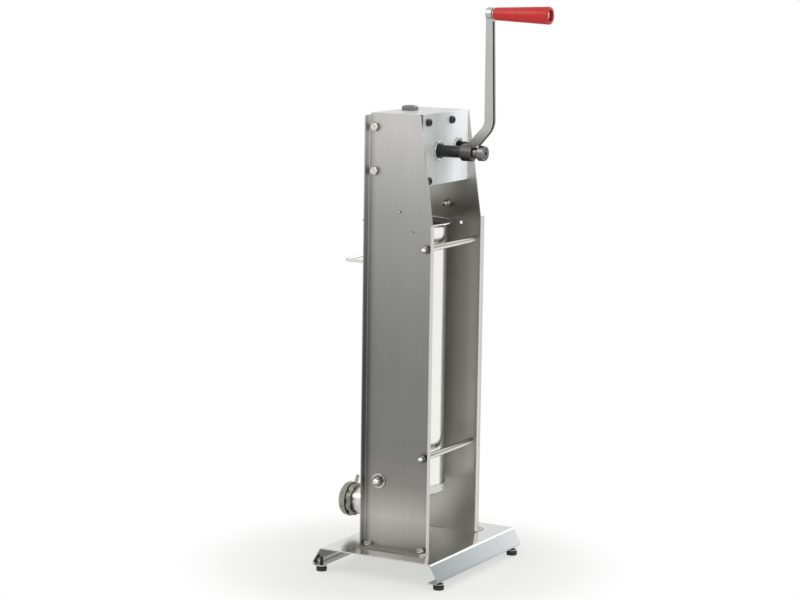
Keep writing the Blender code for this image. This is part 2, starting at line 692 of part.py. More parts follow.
def panel_holes(side):
    """Cutters for every hole in one side panel."""
    across = [(0.0, PIVOT_HEIGHT, PIVOT_RADIUS), (ROD_BEHIND_AXIS, UPPER_ROD_HEIGHT, ROD_STUD_RADIUS),
              (ROD_BEHIND_AXIS, LOWER_ROD_HEIGHT, ROD_STUD_RADIUS),
              (STOP_BEHIND_AXIS, CYLINDER_TOP + STOP_ABOVE_RIM, STOP_PIN_RADIUS),
              (LOCK_HOLE_BEHIND_AXIS, CYLINDER_TOP - LOCK_HOLE_BELOW_RIM, LOCK_HOLE_RADIUS)]
    across += [(y, z, GEARBOX_SCREW_RADIUS) for y, z in gearbox_screw_places()]
    holes = []
    for y, z, radius in across:
        drill = rod(radius + RUNNING_GAP, PANEL_INNER - PANEL_SHEET, PANEL_OUTER + PANEL_SHEET, SMALL_TURN)
        holes.append(placed(drill, ALONG_X, Matrix.Scale(side, 4, (1, 0, 0)), shift(0.0, y, z)))
    for x, y in foot_bolt_places():
        if x * side > 0:
            drill = rod(FOOT_BOLT_SHANK + RUNNING_GAP, PLATFORM_HEIGHT - PANEL_SHEET,
                        PANEL_FOOT_TOP + PANEL_SHEET, SMALL_TURN)
            holes.append(placed(drill, shift(x, y)))
    return together(*holes)


def gearbox_screw_places():
    """Y and Z of the two screws that hold the gearbox to each panel."""
    y = -PANEL_FRONT + GEARBOX_SCREW_BEHIND_EDGE
    return [(y, GEARBOX_TOP - GEARBOX_SCREW_INSET), (y, GEARBOX_BOTTOM + GEARBOX_SCREW_INSET)]


def sideways(body, side, y, z, start):
    """Lay a piece that stands on Z = 0 along X, pointing out of one side."""
    return placed(body, ALONG_X, shift(start), Matrix.Scale(side, 4, (1, 0, 0)), shift(0.0, y, z))


def build_frame_fasteners(steel):
    """Foot bolts, cross rods with dome nuts, and the stops over the cylinder's rim."""
    names = ("foot_bolt_front_right", "foot_bolt_front_left", "foot_bolt_rear_right", "foot_bolt_rear_left")
    for name, (x, y) in zip(names, foot_bolt_places()):
        bolt = hex_bolt(FOOT_BOLT_ACROSS, FOOT_BOLT_HEAD, FOOT_BOLT_SHANK, FOOT_BOLT_LENGTH)
        add_object(name, placed(bolt, shift(x, y, PANEL_FOOT_TOP + CLEARANCE)), steel)
    nut_face = PANEL_OUTER + CLEARANCE
    stud_end = nut_face + CAP_NUT_HEX
    for level, height in (("upper", UPPER_ROD_HEIGHT), ("lower", LOWER_ROD_HEIGHT)):
        body_end = PANEL_INNER - CLEARANCE
        outline = ((0.0, -stud_end), (ROD_STUD_RADIUS, -stud_end), (ROD_STUD_RADIUS, -body_end),
                   (ROD_RADIUS, -body_end), (ROD_RADIUS, body_end), (ROD_STUD_RADIUS, body_end),
                   (ROD_STUD_RADIUS, stud_end), (0.0, stud_end))
        add_object(f"cross_rod_{level}",
                   placed(revolved(outline, SMALL_TURN), ALONG_X, shift(0.0, ROD_BEHIND_AXIS, height)),
                   steel)
        for name, side in SIDES:
            nut = cap_nut(CAP_NUT_ACROSS, CAP_NUT_HEX, CAP_NUT_DOME, ROD_STUD_RADIUS + RUNNING_GAP,
                          CAP_NUT_HEX + 2 * CLEARANCE)
            add_object(f"rod_nut_{level}_{name}", sideways(nut, side, ROD_BEHIND_AXIS, height, nut_face),
                       steel)
    inner = PANEL_INNER - CLEARANCE
    pin_end = -PANEL_SHEET - 2 * CLEARANCE - STOP_PIN_OUT
    corner = CAP_NUT_ACROSS / math.sqrt(3)
    stop = [(0.0, pin_end), (STOP_PIN_RADIUS, pin_end), (STOP_PIN_RADIUS, 0.0), (corner, 0.0),
            (corner, 0.85 * CAP_NUT_HEX), (CAP_NUT_ACROSS / 2, CAP_NUT_HEX)]
    stop += dome_profile(CAP_NUT_ACROSS * 0.45, CAP_NUT_HEX, CAP_NUT_DOME)
    for name, side in SIDES:
        inward = placed(hexed(revolved(stop, SMALL_TURN), CAP_NUT_ACROSS), Matrix.Rotation(math.pi, 4, "X"))
        body = sideways(inward, side, STOP_BEHIND_AXIS, CYLINDER_TOP + STOP_ABOVE_RIM, inner)
        add_object(f"cylinder_stop_{name}", body, steel)


def build_carrier(cast):
    """Cup under the cylinder with its two pivot ears, the well and the outlet neck."""
    cup_outer = CUP_INNER + CUP_WALL
    cup = ((0.0, CUP_BOTTOM), (cup_outer - CUP_FLOOR / 2, CUP_BOTTOM),
           (cup_outer, CUP_BOTTOM + CUP_FLOOR / 2),
           (cup_outer, CUP_TOP + CUP_LIP), (0.0, CUP_TOP + CUP_LIP))
    carrier = add_object("cylinder_carrier", revolved(cup, LARGE_TURN), cast)
    ear_outer = PANEL_INNER - CLEARANCE
    ear = [(EAR_HALF_WIDTH, CUP_TOP - CUP_FLOOR / 4)]
    ear += [(EAR_HALF_WIDTH * math.cos(a), PIVOT_HEIGHT + EAR_HALF_WIDTH * math.sin(a))
            for a in [math.pi * k / 8 for k in range(9)]]
    ear += [(-EAR_HALF_WIDTH, CUP_TOP - CUP_FLOOR / 4)]
    upright = Matrix.Rotation(math.pi / 2, 4, "X")
    outward = Matrix.Rotation(math.pi / 2, 4, "Z")
    ear_inner = CYLINDER_RADIUS - 2 * EAR_HALF_WIDTH / LARGE_TURN - CUP_WALL
    ears = [placed(prism(ear, ear_inner, ear_outer), upright, outward,
                   Matrix.Scale(side, 4, (1, 0, 0))) for _, side in SIDES]
    boolean(carrier, "join_ears", together(*ears), "UNION")
    bowl = [(0.0, OUTLET_HEIGHT - WELL_RADIUS)]
    bowl += [(WELL_RADIUS * math.sin(a),
              OUTLET_HEIGHT - WELL_RADIUS * math.cos(a)) for a in [math.pi * k / 12 for k in range(1, 7)]]
    bowl += [(WELL_RADIUS, CUP_BOTTOM + CUP_FLOOR / 2), (0.0, CUP_BOTTOM + CUP_FLOOR / 2)]
    half_facet = Matrix.Rotation(math.pi / MEDIUM_TURN, 4, "Z")
    boolean(carrier, "join_well", placed(revolved(bowl), half_facet, shift(0.0, -OUTLET_WELL)), "UNION")
    neck = revolved(((0.0, OUTLET_WELL), (TUBE_RADIUS, OUTLET_WELL), (TUBE_RADIUS, NECK_END),
                     (OUTLET_BORE, NECK_END),
                     (OUTLET_BORE, RING_NUT_START), (0.0, RING_NUT_START)))
    boolean(carrier, "join_neck", placed(neck, TOWARDS_FRONT, shift(0.0, 0.0, OUTLET_HEIGHT)), "UNION")
    collar = prism(scalloped_circle(COLLAR_RADIUS, COLLAR_NOTCHES, COLLAR_NOTCH_DEPTH), COLLAR_START,
                   OUTLET_COLLAR_FRONT)
    boolean(carrier, "join_collar", placed(collar, TOWARDS_FRONT, shift(0.0, 0.0, OUTLET_HEIGHT)), "UNION")
    pivots = [placed(rod(PIVOT_RADIUS + RUNNING_GAP, CYLINDER_RADIUS - CUP_WALL, PANEL_OUTER, SMALL_TURN),
                     ALONG_X,
                     Matrix.Scale(side, 4, (1, 0, 0)), shift(0.0, 0.0, PIVOT_HEIGHT)) for _, side in SIDES]
    boolean(carrier, "cut_pivots", together(*pivots))
    boolean(carrier, "cut_seat", rod(CUP_INNER, CUP_TOP, PIVOT_HEIGHT + 2 * EAR_HALF_WIDTH, LARGE_TURN))
    well = [(0.0, OUTLET_HEIGHT - WELL_BORE)]
    well += [(WELL_BORE * math.sin(a),
              OUTLET_HEIGHT - WELL_BORE * math.cos(a)) for a in [math.pi * k / 12 for k in range(1, 7)]]
    well += [(WELL_BORE, CUP_TOP + CUP_FLOOR), (0.0, CUP_TOP + CUP_FLOOR)]
    boolean(carrier, "cut_well", placed(revolved(well), half_facet, shift(0.0, -OUTLET_WELL)))
    passage = placed(rod(OUTLET_BORE - RUNNING_GAP, OUTLET_WELL, RING_NUT_START + CUP_WALL), half_facet,
                     TOWARDS_FRONT, shift(0.0, 0.0, OUTLET_HEIGHT))
    boolean(carrier, "cut_passage", passage)


def build_pivots(steel):
    """Pivot bolts of the cylinder carrier with their washers and dome nuts."""
    washer_face = PANEL_OUTER + CLEARANCE
    nut_face = washer_face + PIVOT_WASHER + CLEARANCE
    start = CUP_INNER + 2 * CUP_WALL / 3
    bolt_end = nut_face + PIVOT_NUT_HEX
    for name, side in SIDES:
        bolt = rod(PIVOT_RADIUS, 0.0, bolt_end - start, SMALL_TURN)
        add_object(f"pivot_bolt_{name}", sideways(bolt, side, 0.0, PIVOT_HEIGHT, start), steel)
        washer = tube(PIVOT_WASHER_RADIUS, PIVOT_RADIUS + RUNNING_GAP, 0.0, PIVOT_WASHER)
        add_object(f"pivot_washer_{name}", sideways(washer, side, 0.0, PIVOT_HEIGHT, washer_face), steel)
        nut = cap_nut(PIVOT_NUT_ACROSS, PIVOT_NUT_HEX, PIVOT_NUT_DOME, PIVOT_RADIUS + RUNNING_GAP,
                      PIVOT_NUT_HEX + 2 * CLEARANCE)
        add_object(f"pivot_nut_{name}", sideways(nut, side, 0.0, PIVOT_HEIGHT, nut_face), steel)


def build_cylinder(polished, steel, rubber):
    """Open-ended cylinder with a flared rim, its gasket and its pull handle."""
    outer, inner = CYLINDER_RADIUS, CYLINDER_BORE
    turn_low = CYLINDER_TOP - RIM_LIP - RIM_FLARE
    arc = [math.pi / 2 * k / ARC_STEPS for k in range(ARC_STEPS + 1)]
    outside = [(outer + RIM_FLARE * (1 - math.cos(a)), turn_low + RIM_FLARE * math.sin(a)) for a in arc]
    edge = [(outer + RIM_FLARE, CYLINDER_TOP)]
    bend = RIM_FLARE + CYLINDER_WALL
    inside = [(inner + bend * (1 - math.cos(a)),
               CYLINDER_TOP - bend + bend * math.sin(a)) for a in reversed(arc[:-1])]
    profile = [(inner, CYLINDER_BOTTOM), (outer, CYLINDER_BOTTOM)] + outside + edge + inside
    add_object("cylinder", revolved(profile, LARGE_TURN), polished)
    gasket_outer = outer - CLEARANCE
    gasket = tube(gasket_outer, gasket_outer - GASKET_WIDTH, CUP_TOP + CLEARANCE,
                  CUP_TOP + CLEARANCE + GASKET_THICKNESS, LARGE_TURN)
    add_object("cylinder_gasket", gasket, rubber)
    height = CYLINDER_TOP - HANDLE_BELOW_RIM
    inside_wall = -math.sqrt(outer ** 2 - HANDLE_HALF_WIDTH ** 2) + HANDLE_ROD_RADIUS
    corners = [(HANDLE_HALF_WIDTH, inside_wall), (HANDLE_HALF_WIDTH, -HANDLE_REACH),
               (-HANDLE_HALF_WIDTH, -HANDLE_REACH), (-HANDLE_HALF_WIDTH, inside_wall)]
    handle = add_object("cylinder_handle", swept(rounded(corners, HANDLE_BEND, closed=False),
                                                 HANDLE_ROD_RADIUS, height), steel)
    boolean(handle, "cut_handle_ends", rod(outer + CLEARANCE, height - 3 * HANDLE_ROD_RADIUS,
                                           height + 3 * HANDLE_ROD_RADIUS, LARGE_TURN))


def swept(path, radius, height, sides=8):
    """Round rod that follows a level path at a height."""
    body = bmesh.new()
    rings = []
    for i, point in enumerate(path):
        along = (Vector(path[min(i + 1, len(path) - 1)]) - Vector(path[max(i - 1, 0)])).normalized()
        across = Vector((-along.y, along.x))
        ring = []
        for k in range(sides):
            angle = 2 * math.pi * k / sides
            flat = Vector(point) + across * radius * math.cos(angle)
            ring.append(body.verts.new((flat.x, flat.y, height + radius * math.sin(angle))))
        rings.append(ring)
    for ring, following in zip(rings, rings[1:]):
        for k in range(sides):
            j = (k + 1) % sides
            body.faces.new((ring[k], ring[j], following[j], following[k]))
    body.faces.new(rings[0])
    body.faces.new(list(reversed(rings[-1])))
    return body


def build_ring_nut(chrome, axis):
    """Lobed ring nut on the outlet neck, with its tightening lug."""
    bore = TUBE_RADIUS + RUNNING_GAP
    inner_end = RING_NUT_BAND + RING_NUT_NOSE - RING_NUT_LIP
    outline = ((bore, 0.0), (RING_NUT_RADIUS, 0.0), (RING_NUT_RADIUS, RING_NUT_BAND),
               ((RING_NUT_RADIUS + RING_NUT_FACE_RADIUS) / 2, RING_NUT_BAND + RING_NUT_NOSE * 0.65),
               (RING_NUT_FACE_RADIUS, RING_NUT_BAND + RING_NUT_NOSE),
               (RING_NUT_MOUTH, RING_NUT_BAND + RING_NUT_NOSE), (RING_NUT_MOUTH, inner_end),
               (bore, inner_end))
    front = shift(0.0, -RING_NUT_START, OUTLET_HEIGHT)
    nut = add_object("ring_nut", placed(revolved(outline, 32), TOWARDS_FRONT, front), chrome, axis)
    lug = rounded([(-RING_NUT_LUG_WIDTH / 2, bore + CUP_WALL), (RING_NUT_LUG_WIDTH / 2, bore + CUP_WALL),
                   (RING_NUT_LUG_WIDTH * 0.4, RING_NUT_LUG_REACH), (-RING_NUT_LUG_WIDTH * 0.4,
                                                                    RING_NUT_LUG_REACH)],
                  RING_NUT_LUG_WIDTH * 0.3, steps=2)
    tilt = Matrix.Rotation(RING_NUT_LUG_TILT, 4, "Z")
    lug_body = placed(prism(lug, RING_NUT_BAND * 0.1, RING_NUT_BAND * 0.55), tilt, TOWARDS_FRONT, front)
    boolean(nut, "join_lug", lug_body, "UNION")
    notches = scalloped(RING_NUT_RADIUS + RING_NUT_NOTCH_RADIUS / 2, RING_NUT_NOTCH_RADIUS,
                        RING_NUT_NOTCHES, RING_NUT_NOSE + RING_NUT_BAND / 2)
    boolean(nut, "cut_notches", placed(notches, shift(0.0, 0.0, RING_NUT_BAND * 0.6), TOWARDS_FRONT, front))


def build_gearbox(paint, bronze, black, steel):
    """Gearbox housing, its rear cover, the bushes and the screws."""
    half = GEARBOX_HALF_WIDTH
    wall = GEARBOX_WALL
    shell_end = COVER_FRONT - CLEARANCE
    front = rounded([(-half, -GEARBOX_FRONT), (half, -GEARBOX_FRONT), (half, shell_end),
                     (-half, shell_end)], GEARBOX_EDGE / 4, steps=1)
    housing = add_object("gearbox_housing", prism(front, GEARBOX_BOTTOM, GEARBOX_TOP), paint)
    hollow = block((-half + wall, -GEARBOX_FRONT + wall, GEARBOX_BOTTOM + wall),
                   (half - wall, GEARBOX_REAR, GEARBOX_TOP - wall))
    boolean(housing, "cut_hollow", hollow)
    boolean(housing, "join_screw_posts", screw_posts(), "UNION")
    slot = block((RACK_BACK_X - RUNNING_GAP, -RACK_DEPTH / 2 - RUNNING_GAP, GEARBOX_BOTTOM - wall),
                 (RACK_TIP_X + RUNNING_GAP, RACK_DEPTH / 2 + RUNNING_GAP, GEARBOX_TOP + wall))
    drills = [slot]
    for x, z in ((MAIN_X, MAIN_Z), (SECOND_X, SECOND_Z)):
        drills.append(on_shaft(rod(BUSH_RADIUS + RUNNING_GAP, 0.0, 2 * wall), -GEARBOX_FRONT - wall / 2, x,
                               z))
    for _, side in SIDES:
        for y, z in gearbox_screw_places():
            drills.append(sideways(rod(GEARBOX_SCREW_RADIUS + RUNNING_GAP, 0.0, 3 * wall, SMALL_TURN), side,
                                   y, z, half - 2 * wall))
    for x, z in cover_screw_places():
        drills.append(on_shaft(rod(COVER_SCREW_RADIUS + RUNNING_GAP, 0.0, COVER_SCREW_LENGTH + wall,
                                   SMALL_TURN),
                               shell_end - COVER_SCREW_LENGTH, x, z))
    boolean(housing, "cut_openings", together(*drills))
    build_cover(paint, black)
    build_bushes(bronze)
    for name, side in SIDES:
        for place, (y, z) in zip(("upper", "lower"), gearbox_screw_places()):
            bolt = hex_bolt(GEARBOX_SCREW_ACROSS, GEARBOX_SCREW_HEAD, GEARBOX_SCREW_RADIUS,
                            PANEL_SHEET + 2 * wall,
                            GEARBOX_SCREW_FLANGE, GEARBOX_SCREW_FLANGE_HEIGHT)
            add_object(f"gearbox_screw_{place}_{name}", sideways(bolt, side, y, z, PANEL_OUTER + CLEARANCE),
                       steel)


def cover_screw_places():
    """X and Z of the four screws of the rear cover."""
    heights = {"top": GEARBOX_TOP - COVER_SCREW_INSET, "bottom": GEARBOX_BOTTOM + COVER_SCREW_INSET * 0.6}
    places = [(x, heights[row]) for x, row in COVER_SCREW_PLACES]
    return places + [(-GEARBOX_HALF_WIDTH + COVER_SCREW_INSET * 0.75,
                      GEARBOX_BOTTOM + SIDE_COVER_SCREW_RISE)]


def screw_posts():
    """Posts on the housing's walls that take the cover's screws."""
    start = COVER_FRONT - SCREW_POST_LENGTH
    end = COVER_FRONT - CLEARANCE
    half = SCREW_POST_HALF_WIDTH
    wall = GEARBOX_WALL
    posts = []
    for (x, z), (_, row) in zip(cover_screw_places(), COVER_SCREW_PLACES):
        low, high = (z - half, GEARBOX_TOP - wall / 2) if row == "top" else (GEARBOX_BOTTOM + wall / 2,
                                                                             z + half)
        posts.append(block((x - half, start, low), (x + half, end, high)))
    x, z = cover_screw_places()[-1]
    posts.append(block((-GEARBOX_HALF_WIDTH + wall / 2, start, z - half), (x + half, end, z + half)))
    return together(*posts)


def build_cover(paint, black):
    """Rear cover of the gearbox with rounded corners and its screws."""
    half = GEARBOX_HALF_WIDTH
    outline = rounded([(-half, GEARBOX_BOTTOM), (half, GEARBOX_BOTTOM), (half, GEARBOX_TOP),
                       (-half, GEARBOX_TOP)], GEARBOX_EDGE)
    upright = Matrix.Rotation(math.pi / 2, 4, "X")
    cover = add_object("gearbox_cover", placed(prism(outline, -GEARBOX_REAR, -COVER_FRONT), upright), paint)
    drills = []
    for x, z in ((MAIN_X, MAIN_Z), (SECOND_X, SECOND_Z)):
        drills.append(on_shaft(rod(BUSH_RADIUS + RUNNING_GAP, 0.0, 2 * COVER_THICKNESS),
                               COVER_FRONT - COVER_THICKNESS / 2, x, z))
    for x, z in cover_screw_places():
        drills.append(on_shaft(rod(COVER_SCREW_RADIUS + RUNNING_GAP, 0.0, 2 * COVER_THICKNESS, SMALL_TURN),
                               COVER_FRONT - COVER_THICKNESS / 2, x, z))
    boolean(cover, "cut_cover_holes", together(*drills))
    names = ("cover_screw_upper_right", "cover_screw_upper_left", "cover_screw_lower_right",
             "cover_screw_side_left")
    for name, (x, z) in zip(names, cover_screw_places()):
        screw = screw_head(COVER_SCREW_HEAD, COVER_SCREW_HEAD_HEIGHT, COVER_SCREW_RADIUS,
                           COVER_SCREW_LENGTH)
        add_object(name, on_shaft(screw, GEARBOX_REAR + CLEARANCE, x, z), black)


def build_bushes(bronze):
    """Flanged bushes for both shafts, in the cover and in the front wall."""
    bore = SHAFT_RADIUS + RUNNING_GAP
    shafts = (("main", MAIN_X, MAIN_Z, BUSH_FLANGE_RADIUS),
              ("second", SECOND_X, SECOND_Z, SECOND_FLANGE_RADIUS))
    for name, x, z, flange in shafts:
        depth = COVER_THICKNESS + CLEARANCE + BUSH_DEPTH
        rear = revolved(((bore, -depth), (BUSH_RADIUS, -depth), (BUSH_RADIUS, 0.0), (flange, 0.0),
                         (flange, BUSH_FLANGE * 0.6), (flange - BUSH_FLANGE * 0.4, BUSH_FLANGE),
                         (bore, BUSH_FLANGE)))
        add_object(f"{name}_bush_rear", on_shaft(rear, GEARBOX_REAR + CLEARANCE, x, z), bronze)
        inside = -GEARBOX_FRONT + GEARBOX_WALL + CLEARANCE
        front = revolved(((bore, -GEARBOX_WALL), (BUSH_RADIUS, -GEARBOX_WALL), (BUSH_RADIUS, 0.0),
                          (flange, 0.0), (flange, BUSH_FLANGE), (bore, BUSH_FLANGE)))
        add_object(f"{name}_bush_front", on_shaft(front, inside, x, z), bronze)


def build_drive(steel, iron, black, axis):
    """Main shaft with the rack pinion, and the large gear on it."""
    tail = -GEARBOX_FRONT + SHAFT_TAIL_GAP
    shaft = add_object("main_shaft",
                       on_shaft(rod(SHAFT_RADIUS, 0.0, KNOB_START + KNOB_BORE_DEPTH - CLEARANCE - tail),
                                tail), steel, axis)
    teeth = gear_outline(RACK_PINION_TEETH, RACK_MODULE, STUB_ADDENDUM, STUB_DEDENDUM)
    boolean(shaft, "join_pinion", on_shaft(prism(teeth, 0.0, PINION_WIDTH), -PINION_WIDTH / 2), "UNION")
    phase = -math.atan2(SECOND_Z - MAIN_Z, SECOND_X - MAIN_X)
    gear_teeth = gear_outline(LARGE_GEAR_TEETH, GEAR_MODULE, FULL_ADDENDUM, FULL_DEDENDUM, phase)
    gear = add_object("large_gear", on_shaft(prism(gear_teeth, 0.0, GEAR_WIDTH), GEAR_START), iron, axis)
    boolean(gear, "cut_gear_bore", on_shaft(rod(SHAFT_RADIUS + CLEARANCE, -GEAR_WIDTH, 2 * GEAR_WIDTH),
                                            GEAR_START))
    pocket_inner = SHAFT_SHOULDER_RADIUS + GEAR_WIDTH / 2
    pocket_outer = LARGE_GEAR_RADIUS - FULL_DEDENDUM * GEAR_MODULE - GEAR_WIDTH / 2
    pocket = together(placed(tube(pocket_outer, pocket_inner, 0.0, GEAR_WIDTH),
                             shift(0.0, 0.0, -0.7 * GEAR_WIDTH)),
                      placed(tube(pocket_outer, pocket_inner, 0.0, GEAR_WIDTH),
                             shift(0.0, 0.0, 0.7 * GEAR_WIDTH)))
    boolean(gear, "cut_gear_pockets", on_shaft(pocket, GEAR_START))


def build_second_shaft(steel, axis):
    """Second shaft with the small gear of the slow speed."""
    tail = -GEARBOX_FRONT + SHAFT_TAIL_GAP
    end = BUSH_FACE + STUB_LENGTH
    chamfer = SHAFT_RADIUS / 6
    body = revolved(((0.0, 0.0), (SHAFT_RADIUS, 0.0), (SHAFT_RADIUS, end - tail - chamfer),
                     (SHAFT_RADIUS - chamfer, end - tail), (0.0, end - tail)))
    shaft = add_object("second_shaft", on_shaft(body, tail, SECOND_X, SECOND_Z), steel, axis)
    towards_main = -math.atan2(MAIN_Z - SECOND_Z, MAIN_X - SECOND_X)
    teeth = gear_outline(SMALL_GEAR_TEETH, GEAR_MODULE, FULL_ADDENDUM, FULL_DEDENDUM,
                         towards_main + math.pi / SMALL_GEAR_TEETH)
    width = GEAR_WIDTH + 2 * SMALL_GEAR_EXTRA
    boolean(shaft, "join_small_gear", on_shaft(prism(teeth, 0.0, width), GEAR_START - SMALL_GEAR_EXTRA,
                                               SECOND_X, SECOND_Z), "UNION")


def build_rack(steel, iron, axis):
    """Toothed rack and the hexagon cap on its top end."""
    body = placed(prism(rack_outline(), -RACK_DEPTH / 2, RACK_DEPTH / 2),
                  Matrix.Rotation(math.pi / 2, 4, "X"))
    rack = add_object("rack", body, steel, axis)
    holes = together(
        placed(rod(PISTON_BOLT_RADIUS + RUNNING_GAP, RACK_BOTTOM - CLEARANCE,
                   RACK_BOTTOM + PISTON_BOLT_GRIP + CLEARANCE, SMALL_TURN), shift(RACK_MIDDLE_X)),
        placed(rod(RACK_CAP_SHANK + RUNNING_GAP, RACK_TOP - RACK_CAP_SHANK_LENGTH - CLEARANCE,
                   RACK_TOP + CLEARANCE, SMALL_TURN), shift(RACK_MIDDLE_X)))
    boolean(rack, "cut_rack_holes", holes)
    corner = RACK_CAP_ACROSS / math.sqrt(3)
    cap = revolved(((0.0, -RACK_CAP_SHANK_LENGTH), (RACK_CAP_SHANK, -RACK_CAP_SHANK_LENGTH),
                    (RACK_CAP_SHANK, 0.0), (corner, 0.0), (corner, RACK_CAP_HEIGHT - RACK_CAP_CHAMFER),
                    (corner - RACK_CAP_CHAMFER, RACK_CAP_HEIGHT), (0.0, RACK_CAP_HEIGHT)), 6)
    add_object("rack_cap", placed(cap, shift(RACK_MIDDLE_X, 0.0, RACK_TOP + CLEARANCE)), iron, axis)


def build_piston(alloy, rubber, steel, axis, valve_axis):
    """Piston: two plates with a seal between them, the bolt and the air valve."""
    hole = PISTON_BOLT_RADIUS + RUNNING_GAP
    top = PISTON_BOTTOM + PISTON_PLATE
    lower = ((0.0, PISTON_BOTTOM), (PISTON_RADIUS - PISTON_CHAMFER, PISTON_BOTTOM),
             (PISTON_RADIUS, PISTON_BOTTOM + PISTON_CHAMFER),
             (PISTON_RADIUS, top), (0.0, top))
    plate = add_object("piston_lower_plate", revolved(lower, LARGE_TURN), alloy, axis)
    counter = PISTON_BOLT_HEAD + 2 * CLEARANCE
    pocket = VALVE_HEAD_HEIGHT + VALVE_TRAVEL + 3 * CLEARANCE
    cuts = together(placed(revolved(((0.0, PISTON_BOTTOM - CLEARANCE),
                                     (COUNTERBORE, PISTON_BOTTOM - CLEARANCE),
                                     (COUNTERBORE, PISTON_BOTTOM + counter),
                                     (hole, PISTON_BOTTOM + counter), (hole, top + CLEARANCE),
                                     (0.0, top + CLEARANCE))), shift(RACK_MIDDLE_X)),
                    placed(revolved(((0.0, PISTON_BOTTOM - CLEARANCE),
                                     (VALVE_POCKET, PISTON_BOTTOM - CLEARANCE),
                                     (VALVE_POCKET, PISTON_BOTTOM + pocket),
                                     (VALVE_STEM + RUNNING_GAP, PISTON_BOTTOM + pocket),
                                     (VALVE_STEM + RUNNING_GAP, top + CLEARANCE), (0.0, top + CLEARANCE)),
                                    SMALL_TURN), shift(-VALVE_OFFSET)))
    boolean(plate, "cut_lower_plate", cuts)
    lip = PISTON_SEAL_RADIUS - PISTON_RADIUS
    seal = ((PISTON_SEAL_INNER, 0.0), (PISTON_SEAL_RADIUS - 2 * lip, 0.0),
            (PISTON_SEAL_RADIUS, PISTON_SEAL_HEIGHT * 0.3),
            (PISTON_SEAL_RADIUS - lip, PISTON_SEAL_HEIGHT * 0.5),
            (PISTON_SEAL_RADIUS, PISTON_SEAL_HEIGHT * 0.7),
            (PISTON_SEAL_RADIUS - 2 * lip, PISTON_SEAL_HEIGHT), (PISTON_SEAL_INNER, PISTON_SEAL_HEIGHT))
    add_object("piston_seal", placed(revolved(seal, LARGE_TURN), shift(0.0, 0.0, SEAL_BOTTOM)), rubber,
               axis)
    hub = PISTON_SEAL_INNER - CLEARANCE
    upper = ((0.0, SEAL_BOTTOM), (hub, SEAL_BOTTOM), (hub, TOP_PLATE_BOTTOM),
             (PISTON_TOP_RADIUS, TOP_PLATE_BOTTOM),
             (PISTON_TOP_RADIUS, TOP_PLATE_TOP), (0.0, TOP_PLATE_TOP))
    cover = add_object("piston_upper_plate", revolved(upper, LARGE_TURN), alloy, axis)
    through = TOP_PLATE_TOP + CLEARANCE
    boolean(cover, "cut_upper_plate", together(
        placed(rod(hole, SEAL_BOTTOM - CLEARANCE, through), shift(RACK_MIDDLE_X)),
        placed(rod(VALVE_STEM + RUNNING_GAP, SEAL_BOTTOM - CLEARANCE, through, SMALL_TURN),
               shift(-VALVE_OFFSET))))
    bolt = hex_bolt(PISTON_BOLT_ACROSS, PISTON_BOLT_HEAD, PISTON_BOLT_RADIUS,
                    RACK_BOTTOM + PISTON_BOLT_GRIP - PISTON_BOTTOM - counter)
    add_object("piston_bolt",
               placed(bolt, Matrix.Rotation(math.pi, 4, "X"),
                      shift(RACK_MIDDLE_X, 0.0, PISTON_BOTTOM + counter - CLEARANCE)), steel, axis)
    head = PISTON_BOTTOM + CLEARANCE
    cap = TOP_PLATE_TOP + CLEARANCE
    valve = ((0.0, head), (VALVE_HEAD, head), (VALVE_HEAD, head + VALVE_HEAD_HEIGHT),
             (VALVE_STEM, head + VALVE_HEAD_HEIGHT), (VALVE_STEM, cap), (VALVE_CAP, cap),
             (VALVE_CAP, cap + VALVE_CAP_HEIGHT), (0.0, cap + VALVE_CAP_HEIGHT))
    add_object("air_valve", placed(revolved(valve, SMALL_TURN), shift(-VALVE_OFFSET)), steel, valve_axis)


